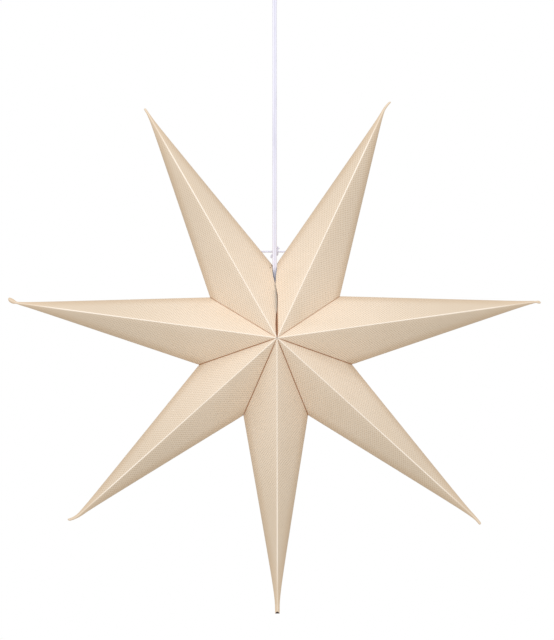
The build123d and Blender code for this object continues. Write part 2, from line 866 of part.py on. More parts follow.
def bulb_stem():
    """The glass stem inside the bulb's neck."""
    flange = base_radius - bulb_wall - fit_gap
    return lathe(
        (0, base_bottom),
        (flange, base_bottom),
        (flange, base_bottom - stem_flange),
        (flange / 2, base_bottom - 2 * stem_flange, stem_flange),
        (stem_tip_radius, stem_bottom, stem_tip_radius / 2),
        (0, stem_bottom),
    )


def filament_turns():
    """The turns of the filaments round the bulb's axis."""
    return [Rot(0, 0, 360 * (index + 0.5) / filament_count) for index in range(filament_count)]


def bulb_filaments():
    """The upright light sticks."""
    low = filament_top - filament_length
    stick = upright(filament_radius, low, filament_top, filament_circle)
    return Compound([turn * stick for turn in filament_turns()])


def filament_wires():
    """The wires that hold the light sticks, above from the stem and below from a middle wire."""
    low = filament_top - filament_length - filament_wire
    middle = upright(filament_wire, low, stem_bottom)
    wires = []
    for turn in filament_turns():
        middle += turn * rod((0, 0, low), (filament_circle, 0, low), filament_wire)
        start = (stem_tip_radius + fit_gap, 0, filament_top + filament_wire)
        wires.append(turn * rod(start, (filament_circle, 0, filament_top + filament_wire), filament_wire))
    return Compound([middle, *wires])


points = [StarPoint(index) for index in range(len(point_shares))]
pieces = (
    ceiling_plate, ceiling_hook, hook_nut, hook_ring,
    clamp_back, clamp_front, clamp_screws, cord_cores, terminal_block, block_barrels, block_screws,
    canopy_cup, canopy_screw, pendant_cord,
    holder_cap, grip_screw, holder_body, holder_insert, terminal_screws, holder_leads, screw_socket,
    contact_tongue, wire_hanger, tie_string, string_knot,
    bulb_glass, bulb_base, bulb_insulator, bulb_contact, bulb_stem, bulb_filaments, filament_wires,
)
parts = {point.name: point.solid() for point in points}
parts.update({piece.__name__: piece() for piece in pieces})

os.makedirs("parts", exist_ok=True)
for name, solid in parts.items():
    export_step(solid, f"parts/{name}.step")
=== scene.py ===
"""A folded paper star lamp on a flat cord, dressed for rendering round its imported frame.

The star is seven hollow points of embossed paper, folded along their ridges and sides and glued
along their valleys, with one slit left open where the cord goes in. Everything is in metres, +Z up,
with the origin on the ceiling and the front of the star towards -Y.
"""

import json
import logging
from collections.abc import Sequence
from dataclasses import dataclass, field
from enum import Enum
from math import atan, cos, hypot, pi, radians, sin, sqrt, tan

import bmesh
import bpy
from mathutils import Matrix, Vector, noise

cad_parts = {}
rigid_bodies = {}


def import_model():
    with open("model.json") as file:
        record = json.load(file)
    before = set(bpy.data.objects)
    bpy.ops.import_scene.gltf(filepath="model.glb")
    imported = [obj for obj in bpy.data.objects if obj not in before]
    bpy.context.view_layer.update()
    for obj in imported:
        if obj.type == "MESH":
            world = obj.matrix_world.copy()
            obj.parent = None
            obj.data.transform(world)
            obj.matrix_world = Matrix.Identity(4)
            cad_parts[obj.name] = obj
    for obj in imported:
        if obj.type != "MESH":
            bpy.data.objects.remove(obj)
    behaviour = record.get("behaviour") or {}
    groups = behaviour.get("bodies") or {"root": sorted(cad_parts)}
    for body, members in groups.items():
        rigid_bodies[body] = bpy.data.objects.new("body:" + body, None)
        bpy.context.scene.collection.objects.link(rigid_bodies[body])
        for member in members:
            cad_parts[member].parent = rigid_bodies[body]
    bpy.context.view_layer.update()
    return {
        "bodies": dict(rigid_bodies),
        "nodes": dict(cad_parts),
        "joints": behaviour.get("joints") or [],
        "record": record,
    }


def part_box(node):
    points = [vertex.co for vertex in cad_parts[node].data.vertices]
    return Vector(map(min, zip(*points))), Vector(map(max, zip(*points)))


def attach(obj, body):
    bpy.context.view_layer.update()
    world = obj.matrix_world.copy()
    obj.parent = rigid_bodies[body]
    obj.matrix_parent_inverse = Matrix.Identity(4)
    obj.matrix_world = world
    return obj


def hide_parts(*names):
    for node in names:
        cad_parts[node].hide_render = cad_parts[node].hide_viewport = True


log = logging.getLogger("paper_star")

MM = 0.001
MERGE = 0.0005 * MM
SMOOTH_ANGLE = radians(32)
PAPER_ANGLE = radians(40)
STRAND_ANGLE = radians(50)
STAR_CENTRE = Vector((0, 0, -488 * MM))
THREAD_PITCH = 2.82 * MM
THREAD_STEPS = 9
RING_STEPS = 72
Number = float | int
Pair = tuple[float, float]
Colour = tuple[float, float, float, float]
Table = tuple[tuple[float, ...], ...]
FEW_PATCHES: Pair = (0.45, 0.8)
MANY_PATCHES: Pair = (0.35, 0.75)


def tone(red: int, green: int, blue: int) -> Colour:
    """The linear colour, with full alpha, of a screen's red, green and blue from 0 to 255."""
    return (*(((share / 255 + 0.055) / 1.055) ** 2.4 for share in (red, green, blue)), 1.0)


def smooth_step(value: float) -> float:
    """Ease from 0 to 1 over the same range, and hold the ends."""
    held = max(0.0, min(1.0, value))
    return held * held * (3 - 2 * held)


def along_table(table: Table, place: float) -> tuple[float, ...]:
    """Read a table of rows (place, values...) between its rows, on a smooth line through them.

    Args:
        table: Rows in rising order of place.
        place: Where to read it.

    Returns:
        The values there.
    """
    if place <= table[0][0]:
        return table[0][1:]
    if place >= table[-1][0]:
        return table[-1][1:]
    index = next(row for row, values in enumerate(table) if place <= values[0]) - 1
    low, high = table[index], table[index + 1]
    before, after = table[max(index - 1, 0)], table[min(index + 2, len(table) - 1)]
    span = high[0] - low[0]
    share = (place - low[0]) / span
    rise = smooth_step(share)
    values = []
    for first, start, end, last in zip(before[1:], low[1:], high[1:], after[1:]):
        leaving = (end - first) / (high[0] - before[0]) * span
        arriving = (last - start) / (after[0] - low[0]) * span
        bend = leaving * share * (1 - share) ** 2 - arriving * share**2 * (1 - share)
        values.append(start + (end - start) * rise + bend)
    return tuple(values)


class Graph:
    """The nodes of one tree, added with their settings, values and links."""

    def __init__(self, tree: bpy.types.NodeTree) -> None:
        """Keep the tree."""
        self.tree = tree

    def add(self, kind: str, settings: dict | None = None, inputs: dict | None = None) -> bpy.types.Node:
        """Add a node.

        Args:
            kind: The node's type.
            settings: Its properties, set first.
            inputs: Values, sockets or fields by the input's name or number.

        Returns:
            The node.
        """
        node = self.tree.nodes.new(kind)
        for key, value in (settings or {}).items():
            setattr(node, key, value)
        for key, value in (inputs or {}).items():
            self.feed(node.inputs[key], value)
        return node

    def first(self, kind: str, **inputs: object) -> bpy.types.NodeSocket:
        """Add a node and give its first output; an underscore in a name stands for a space."""
        named = {key.replace("_", " "): value for key, value in inputs.items()}
        return self.add(kind, inputs=named).outputs[0]

    def feed(self, socket: bpy.types.NodeSocket, value: object) -> None:
        """Give a socket a value or a link.

        Args:
            socket: The input.
            value: A number, a colour, another socket or a field.
        """
        if isinstance(value, Field):
            value = value.socket
        if isinstance(value, bpy.types.NodeSocket):
            self.tree.links.new(value, socket)
        else:
            socket.default_value = value


class Field:
    """A socket that stands in sums and products as a number does."""

    def __init__(self, graph: Graph, socket: bpy.types.NodeSocket) -> None:
        """Keep the graph that the socket belongs to."""
        self.graph = graph
        self.socket = socket

    def maths(self, operation: str, *others: "Field | Number", clamp: bool = False) -> "Field":
        """Put this value and others through one Math node.

        Args:
            operation: The node's operation.
            others: The further operands.
            clamp: Whether the result is held between 0 and 1.

        Returns:
            The result.
        """
        settings = {"operation": operation, "use_clamp": clamp}
        node = self.graph.add("ShaderNodeMath", settings, dict(enumerate((self, *others))))
        return Field(self.graph, node.outputs[0])

    def __add__(self, other: "Field | Number") -> "Field":
        """Sum of both."""
        return self.maths("ADD", other)

    def __sub__(self, other: "Field | Number") -> "Field":
        """This less the other."""
        return self.maths("SUBTRACT", other)

    def __mul__(self, other: "Field | Number") -> "Field":
        """Product of both."""
        return self.maths("MULTIPLY", other)

    def __truediv__(self, other: "Field | Number") -> "Field":
        """This over the other."""
        return self.maths("DIVIDE", other)

    def __rsub__(self, other: Number) -> "Field":
        """A number less this."""
        return self * -1 + other

    __radd__ = __add__
    __rmul__ = __mul__

    def from_middle(self) -> "Field":
        """How far the value lies from the middle between two whole numbers."""
        return self.maths("FRACT") - 0.5

    def root(self) -> "Field":
        """The square root."""
        return self.maths("SQRT")

    def rise(self, low: "Field | Number", high: "Field | Number") -> "Field":
        """Ease from 0 at a low value to 1 at a high one; the low one may be the larger number."""
        ramp = (self - low).maths("DIVIDE", high - low, clamp=True)
        return ramp * ramp * (3 - ramp * 2)


class Surface(Graph):
    """A material with one Principled shader, and the nodes that feed it."""

    def __init__(self, name: str) -> None:
        """Start a bare material.

        Args:
            name: The material's name.
        """
        self.material = bpy.data.materials.new(name)
        self.material.use_nodes = True
        super().__init__(self.material.node_tree)
        self.tree.nodes.clear()
        self.shader = self.add("ShaderNodeBsdfPrincipled")
        self.add("ShaderNodeOutputMaterial", inputs={"Surface": self.shader.outputs["BSDF"]})
        self.place = self.add("ShaderNodeTexCoord").outputs["Object"]

    def dress(self, **values: object) -> None:
        """Set the shader's inputs; an underscore in a name stands for a space."""
        for key, value in values.items():
            self.feed(self.shader.inputs[key.replace("_", " ")], value)

    def sheet_place(self, name: str) -> tuple[Field, Field]:
        """The place on the sheet that a UV map gives.

        Args:
            name: The UV map's name.

        Returns:
            Its two coordinates.
        """
        place = self.add("ShaderNodeUVMap", {"uv_map": name}).outputs["UV"]
        parts = self.add("ShaderNodeSeparateXYZ", inputs={"Vector": place}).outputs
        return Field(self, parts["X"]), Field(self, parts["Y"])

    def attribute(self, name: str) -> Field:
        """A number kept on the mesh."""
        return Field(self, self.add("ShaderNodeAttribute", {"attribute_name": name}).outputs["Fac"])

    def noise(self, scale: float, detail: float = 2.0, rough: float = 0.5, stretch: float = 1.0) -> Field:
        """Soft noise from 0 to 1 over the object.

        Args:
            scale: How many grains there are in a metre.
            detail: How many finer layers it has.
            rough: How strong the finer layers are.
            stretch: How much closer the grains lie along the Z axis than across it.

        Returns:
            The noise.
        """
        place = self.place
        if stretch != 1:
            place = self.first("ShaderNodeMapping", Vector=place, Scale=(1, 1, stretch))
        inputs = {"Vector": place, "Scale": scale, "Detail": detail, "Roughness": rough}
        return Field(self, self.add("ShaderNodeTexNoise", inputs=inputs).outputs["Fac"])

    def mix(self, first: object, second: object, share: object) -> bpy.types.NodeSocket:
        """Blend two colours, from the first at share 0 to the second at share 1."""
        return self.add("ShaderNodeMix", {"data_type": "RGBA"}, {0: share, 6: first, 7: second}).outputs[2]

    def relief(self, height: Field, depth: float, strength: float = 1.0) -> None:
        """Feed the shader's normal from a height of which 1 is a depth in metres."""
        self.dress(Normal=self.first("ShaderNodeBump", Height=height, Distance=depth, Strength=strength))


@dataclass(frozen=True)
class Finish:
    """A surface finish, made into a material once and then shared."""

    name: str

    def material(self) -> bpy.types.Material:
        """The finish's material, made on first use.

        Returns:
            The material.
        """
        found = bpy.data.materials.get(self.name)
        if found:
            return found
        surface = Surface(self.name)
        self.paint(surface)
        return surface.material

    def paint(self, surface: Surface) -> None:
        """Fill in the bare material's nodes."""
        raise NotImplementedError


@dataclass(frozen=True)
class EmbossedPaper(Finish):
    """Heavy uncoated paper with a pressed square lattice of small pits.

    The sheet is painted lighter towards the centre, as bounce light between the facing panels, and
    darker towards the tips. Painted shade darkens its pits, the side folds where the bowed sides turn
    from the light, the inner side of the wall and, darker still, the hollow of the open tip. It is pale
    along its ridges, partly its paler core showing at the crease and partly a painted highlight, and a
    brown line along each valley is partly the glued joint and partly painted shade in the crease,
    painted stronger in the lower valleys, with painted shade also in the open slit's gap. A range
    holds the distances at which a mark starts and is full.
    """

    # painted bounce light: lighter towards the centre, where the panels face each other, and darker towards
    # the tips
    inner_sheet: Colour = tone(237, 220, 200)
    outer_sheet: Colour = tone(217, 200, 179)
    sheet_range: Pair = (46 * MM, 230 * MM)
    cloud: Colour = tone(221, 202, 178)
    cloud_range: Pair = (0.4, 0.75)
    cloud_share: float = 0.25
    # painted shade in the embossed pits
    pit: Colour = tone(184, 156, 120)
    pit_range: Pair = (1.15 * MM, 0.35 * MM)
    pit_depth: float = 0.2 * MM
    pit_share: float = 0.48
    pit_fibres: float = 0.8
    fibre_height: float = 0.12
    pitch: float = 2.7 * MM
    turn: float = radians(55)
    pitted_range: Pair = (298 * MM, 255 * MM)
    # painted shade along the side folds, where the bowed sides turn away from the light
    warm: Colour = tone(201, 172, 138)
    warm_range: Pair = (9 * MM, 0.5 * MM)
    warm_share: float = 0.45
    # pale ridge line: partly the paper's paler core at the crease, partly a painted highlight
    fold: Colour = tone(252, 240, 226)
    fold_range: Pair = (1.0 * MM, 0.45 * MM)
    fold_share: float = 0.8
    fold_fibres: float = 0.25
    fold_pits: float = 0.2
    faded_range: Pair = (245 * MM, 292 * MM)
    faded_share: float = 0.75
    # brown valley line: partly the glued joint, partly painted shade in the crease
    glue: Colour = tone(168, 108, 54)
    glue_range: Pair = (0.85 * MM, 0.2 * MM)
    glue_share: float = 0.85
    # painted shade on the inner side of the wall, and darker painted shade in the hollow of the open tip
    inside: Colour = tone(150, 100, 60)
    opening: Colour = tone(58, 42, 46)
    opening_range: Pair = (275 * MM, 300 * MM)

    def pits(self, along: Field, across: Field) -> Field:
        """Where the pits are.

        Args:
            along: The distance along the ridge on the unfolded sheet.
            across: The distance from the ridge on the unfolded sheet.

        Returns:
            1 in the middle of each pit and 0 between them, fading out towards the tail.
        """
        rows = (along * sin(self.turn) + across * cos(self.turn)) / self.pitch
        places = (along * cos(self.turn) - across * sin(self.turn)) / self.pitch
        up, sideways = (number.from_middle() * self.pitch for number in (rows, places))
        pits = (up * up + sideways * sideways).root().rise(*self.pit_range)
        return pits * along.rise(*self.pitted_range)

    def paint(self, surface: Surface) -> None:
        """Fill in the material's nodes.

        Args:
            surface: The bare material.
        """
        along, across = surface.sheet_place("unfolded")
        pits = self.pits(along, across)
        fibres = surface.noise(900, 3, 0.6)
        clouds = surface.noise(26)
        # painted bounce light, lighter towards the centre and darker towards the tips
        base = surface.mix(self.inner_sheet, self.outer_sheet, along.rise(*self.sheet_range))
        base = surface.mix(base, self.cloud, clouds.rise(*self.cloud_range) * self.cloud_share)
        # painted shade within a few millimetres of the side folds
        side = surface.attribute("to_side").rise(*self.warm_range)
        base = surface.mix(base, self.warm, side * self.warm_share)
        # painted shade in the pits, uneven with the fibres
        uneven = 1 + (fibres - 0.5) * self.pit_fibres
        base = surface.mix(base, self.pit, pits * self.pit_share * uneven)
        # pale ridge line, partly the paler core at the crease and partly a painted highlight
        fold = across.maths("ABSOLUTE").rise(*self.fold_range)
        fold = fold * (1 - along.rise(*self.faded_range) * self.faded_share)
        uneven = (self.fold_share + fibres * self.fold_fibres) * (1 - pits * self.fold_pits)
        base = surface.mix(base, self.fold, fold * uneven)
        # brown line along the valleys and the slit: partly the glued joint, partly painted shade in the
        # crease and the gap
        glue = surface.attribute("to_valley").rise(*self.glue_range)
        base = surface.mix(base, self.glue, glue * surface.attribute("glued") * self.glue_share)
        # painted shade inside the star, darkest in the hollow of the open tip
        inside = surface.attribute("inside")
        base = surface.mix(base, self.inside, inside)
        base = surface.mix(base, self.opening, inside * along.rise(*self.opening_range))
        surface.dress(Base_Color=base, Roughness=0.9, Specular_IOR_Level=0.25, Sheen_Weight=0.12)
        surface.relief(fibres * self.fibre_height - pits, self.pit_depth)


@dataclass(frozen=True)
class Moulded(Finish):
    """Moulded plastic with a faint grain and slightly uneven gloss."""

    colour: Colour
    roughness: float
    grain: float = 0.03 * MM
    grain_scale: float = 1800
    dull_share: float = 0.93
    uneven_gloss: float = 0.14

    def paint(self, surface: Surface) -> None:
        """Fill in the material's nodes.

        Args:
            surface: The bare material.
        """
        drift = surface.noise(60)
        shade = (*(share * self.dull_share for share in self.colour[:3]), 1.0)
        base = surface.mix(self.colour, shade, drift.rise(*MANY_PATCHES))
        gloss = (drift - 0.5) * self.uneven_gloss + self.roughness
        surface.dress(Base_Color=base, Roughness=gloss, Specular_IOR_Level=0.45)
        surface.relief(surface.noise(self.grain_scale, 3), self.grain, 0.5)


@dataclass(frozen=True)
class Sheath(Finish):
    """The cord's soft white sheath, a little dull where it has been handled, with painted shade in its
    groove.
    """

    colour: Colour = tone(222, 220, 232)
    worn: Colour = tone(212, 210, 223)
    # painted shade in the groove between the two cores
    groove: Colour = tone(184, 182, 200)
    groove_range: Pair = (1.52 * MM, 1.28 * MM)
    roughness: float = 0.38
    uneven_gloss: float = 0.15

    def paint(self, surface: Surface) -> None:
        """Fill in the material's nodes.

        Args:
            surface: The bare material.
        """
        drift = surface.noise(220, stretch=0.15)
        # painted shade in the groove between the cores
        groove = surface.attribute("from_middle").rise(*self.groove_range)
        base = surface.mix(self.colour, self.worn, drift.rise(*FEW_PATCHES))
        base = surface.mix(base, self.groove, groove)
        gloss = drift * self.uneven_gloss + self.roughness
        surface.dress(Base_Color=base, Roughness=gloss, Specular_IOR_Level=0.5)
        surface.relief(surface.noise(2600), 0.02 * MM, 0.4)


@dataclass(frozen=True)
class Cotton(Finish):
    """Twisted cotton string."""

    colour: Colour = tone(236, 234, 246)
    shade: Colour = tone(218, 216, 230)
    shade_range: Pair = (0.35, 0.65)

    def paint(self, surface: Surface) -> None:
        """Fill in the material's nodes.

        Args:
            surface: The bare material.
        """
        fibres = surface.noise(3000, 4, 0.7)
        base = surface.mix(self.shade, self.colour, fibres.rise(*self.shade_range))
        surface.dress(Base_Color=base, Roughness=0.95, Specular_IOR_Level=0.2, Sheen_Weight=0.4)
        surface.relief(fibres, 0.08 * MM, 0.5)


@dataclass(frozen=True)
class Metal(Finish):
    """Bare or plated metal with fine drawn streaks and a few duller patches."""

    colour: Colour
    dull: Colour
    roughness: float
    patch_gloss: float = 0.18
    streak_gloss: float = 0.12

    def paint(self, surface: Surface) -> None:
        """Fill in the material's nodes.

        Args:
            surface: The bare material.
        """
        streaks = surface.noise(420, 3, stretch=14)
        patches = surface.noise(90, 3, 0.6)
        base = surface.mix(self.colour, self.dull, patches.rise(*FEW_PATCHES))
        gloss = patches * self.patch_gloss + (streaks - 1) * self.streak_gloss + self.roughness
        surface.dress(Base_Color=base, Metallic=1.0, Roughness=gloss)
        surface.relief(streaks, 0.015 * MM, 0.4)


@dataclass(frozen=True)
class ClearGlass(Finish):
    """Thin clear glass."""

    tint: Colour = (0.98, 0.99, 0.99, 1.0)
    roughness: float = 0.01
    smear_range: Pair = (0.5, 0.9)
    smear_share: float = 0.06

    def paint(self, surface: Surface) -> None:
        """Fill in the material's nodes.

        Args:
            surface: The bare material.
        """
        smears = surface.noise(70).rise(*self.smear_range) * self.smear_share
        gloss = smears + self.roughness
        surface.dress(Base_Color=self.tint, Roughness=gloss, Transmission_Weight=1.0, IOR=1.45)


@dataclass(frozen=True)
class Phosphor(Finish):
    """The soft yellow coat of an unlit light stick."""

    colour: Colour = tone(238, 196, 84)
    thin: Colour = tone(246, 220, 140)

    def paint(self, surface: Surface) -> None:
        """Fill in the material's nodes.

        Args:
            surface: The bare material.
        """
        grain = surface.noise(1500, 3)
        surface.dress(Base_Color=surface.mix(self.colour, self.thin, grain), Roughness=0.6)
        surface.relief(grain, 0.05 * MM, 0.6)


PAPER = EmbossedPaper("embossed_paper")
SHEATH = Sheath("white_sheath")
COTTON = Cotton("cotton_string")
SLOT_FINISHES: dict[str, Finish] = {
    "core_sheath": Moulded("core_insulation", tone(92, 116, 178), 0.35),
    "canopy_plastic": Moulded("canopy_white", tone(216, 216, 213), 0.35),
    "holder_plastic": Moulded("holder_white", tone(232, 232, 228), 0.42),
    "clamp_plastic": Moulded("clamp_white", tone(226, 226, 221), 0.5, 0.05 * MM),
    "steel": Metal("zinc_steel", tone(196, 199, 204), tone(150, 153, 160), 0.32),
    "brass": Metal("bare_brass", tone(222, 190, 120), tone(176, 138, 74), 0.28),
    "bulb_glass": ClearGlass("clear_glass"),
    "bulb_metal": Metal("nickel_plate", tone(205, 202, 194), tone(160, 156, 148), 0.25),
    "bulb_black": Moulded("black_glass", tone(38, 38, 42), 0.2, 0.01 * MM),
    "filament": Phosphor("phosphor_coat"),
}


def linked(name: str, data: bpy.types.ID) -> bpy.types.Object:
    """A new object at the origin, in the scene.

    Args:
        name: The object's name.
        data: Its mesh or curve, or other data.

    Returns:
        The object.
    """
    made = bpy.data.objects.new(name, data)
    bpy.context.scene.collection.objects.link(made)
    return made


def piece_of(mesh: bmesh.types.BMesh, name: str) -> bpy.types.Object:
    """Turn a mesh that has been built into a new object.

    Args:
        mesh: The mesh; it is freed.
        name: The object's name.

    Returns:
        The object.
    """
    data = bpy.data.meshes.new(name)
    mesh.to_mesh(data)
    mesh.free()
    return linked(name, data)


def evaluated(piece: bpy.types.Object) -> bpy.types.Mesh:
    """The new mesh that an object's modifiers make of it.

    Args:
        piece: A mesh or curve object.

    Returns:
        The mesh.
    """
    depsgraph = bpy.context.evaluated_depsgraph_get()
    return bpy.data.meshes.new_from_object(
        piece.evaluated_get(depsgraph), preserve_all_data_layers=True, depsgraph=depsgraph
    )


def apply_modifiers(piece: bpy.types.Object) -> None:
    """Make an object's modifiers part of its mesh.

    Args:
        piece: The object.
    """
    old, finished = piece.data, evaluated(piece)
    name = old.name
    piece.modifiers.clear()
    piece.data = finished
    bpy.data.meshes.remove(old)
    finished.name = name


def shade(piece: bpy.types.Object) -> None:
    """Shade an object smoothly but for its sharp edges."""
    piece.data.shade_smooth()
    piece.data.set_sharp_from_angle(angle=SMOOTH_ANGLE)


def register(piece: bpy.types.Object, body: str, node: str, slot: str) -> None:
    """Put a finished piece on a body in place of a node of the frame.

    Args:
        piece: The piece, at the origin and untransformed.
        body: The body that it rides on.
        node: The node that it stands for.
        slot: The node's material slot; not used.
    """
    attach(piece, body)
    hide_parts(node)
    log.info("%s: %d faces", piece.name, len(piece.data.polygons))


class Recipe(Graph):
    """A Geometry Nodes tree with named inputs, which ends in plain geometry of one material."""

    def __init__(self, name: str, **inputs: str) -> None:
        """Start the tree.

        Args:
            name: The tree's name.
            inputs: The kind of each input by its name, with the piece's own geometry first.
        """
        super().__init__(bpy.data.node_groups.new(name, "GeometryNodeTree"))
        sockets = self.tree.interface
        for label, kind in (inputs | {"Material": "Material"}).items():
            sockets.new_socket(label, in_out="INPUT", socket_type="NodeSocket" + kind)
        sockets.new_socket("Result", in_out="OUTPUT", socket_type="NodeSocketGeometry")
        self.start = self.add("NodeGroupInput")

    def __getitem__(self, name: str) -> bpy.types.NodeSocket:
        """One of the tree's inputs."""
        return self.start.outputs[name]

    def number(self, name: str) -> Field:
        """One of the tree's inputs as a number."""
        return Field(self, self[name])

    def step(self, kind: str, **inputs: object) -> bpy.types.NodeSocket:
        """Add a geometry node and give its first output."""
        return self.first("GeometryNode" + kind, **inputs)

    def from_object(self, name: str) -> bpy.types.NodeSocket:
        """The geometry of an object that is one of the tree's inputs."""
        return self.add("GeometryNodeObjectInfo", inputs={"Object": self[name]}).outputs["Geometry"]

    def close(self, geometry: bpy.types.NodeSocket) -> "Recipe":
        """End the tree with real geometry in the given material.

        Args:
            geometry: What the tree has made.

        Returns:
            The recipe itself.
        """
        real = self.step("RealizeInstances", Geometry=geometry)
        painted = self.step("SetMaterial", Geometry=real, Material=self["Material"])
        self.add("NodeGroupOutput", inputs={"Result": painted})
        return self

    def put_on(self, piece: bpy.types.Object, **values: object) -> None:
        """Add the tree to a piece as a modifier.

        Args:
            piece: The piece.
            values: The inputs' values by name.
        """
        step = piece.modifiers.new(self.tree.name, "NODES")
        step.node_group = self.tree
        for item in self.tree.interface.items_tree:
            if item.in_out == "INPUT" and item.name in values:
                step[item.identifier] = values[item.name]


class Facing(Enum):
    """Which way a panel of a paper point faces; the value is the sign of its depth along Y."""

    FRONT = -1
    BACK = 1


class Flank(Enum):
    """A side of a paper point; the value is the sign of its distance from the ridge."""

    COUNTER_CLOCKWISE = 1
    CLOCKWISE = -1


@dataclass(frozen=True)
class StarPlan:
    """The sizes that all seven points share.

    The slit's rows are the height above the star's centre and the places of its left and right
    edges, as shares of the distance at which two points part.
    """

    reach: float = 306 * MM
    valley_reach: float = 90.2 * MM
    half_depth: float = 76 * MM
    valleys: tuple[float, ...] = (88.9, 35.8, -16.0, -65.9, -113.7, -163.6, -214.6, -266.8)
    bow_shares: Table = ((0.0, 0.02), (0.28, 0.03), (0.64, 0.33), (1.0, 0.42))
    paper: float = 0.5 * MM
    hub: float = 0.5 * MM
    gap: float = 0.045 * MM
    flap: float = 6 * MM
    flap_share: float = 0.85
    flap_steps: tuple[float, ...] = (0.08, 0.5, 1.0)
    # where the painted crease shade along each valley starts and is full, and its share on the upper valleys
    glue_start: float = 2 * MM
    glue_full: float = 8 * MM
    glue_above: float = 0.6
    slit_shares: Table = (
        (0.022, -0.004, 0.006), (0.055, -0.010, 0.010), (0.166, -0.014, 0.012), (0.310, -0.005, 0.013),
        (0.377, 0.009, 0.0145), (0.443, 0.0145, 0.0172), (0.565, 0.0148, 0.0172), (0.665, -0.001, 0.003),
        (0.732, -0.014, -0.004), (0.776, -0.022, 0.0005), (0.831, -0.034, 0.003),
        (0.920, -0.041, 0.0155), (0.998, -0.051, 0.022),
    )
    slit_pitch: float = 1.5 * MM
    slit_flap: float = 3.2 * MM
    slit_flap_share: float = 0.5
    slit_flap_widths: float = 1.4
    slit_half_gap: float = 0.04 * MM
    slit_turned: float = 0.6 * MM
    slit_open_shares: Pair = (0.687, 0.776)
    slit_line_scale: float = 2.0
    # painted shade along the slit's edges and in its gap, deeper below a height
    slit_brown: float = 0.7
    slit_browner_below: float = 0.40
    slit_browner_over: float = 0.1
    slit_fade: float = 0.12
    punch_shares: Pair = (-0.066, 0.938)
    punch_depth_share: float = 0.55
    punch_radius: float = 0.5 * MM

    def slit_edges(self, height: float, facing: Facing) -> Pair:
        """The places of the slit's two edges at a height above the star's centre.

        Args:
            height: The height.
            facing: Front or back; the slit looks the same from both sides.

        Returns:
            The left and the right edge, seen from the front.
        """
        left, right = along_table(self.slit_shares, height / self.valley_reach)
        if facing is Facing.BACK:
            left, right = -right, -left
        return left * self.valley_reach, right * self.valley_reach


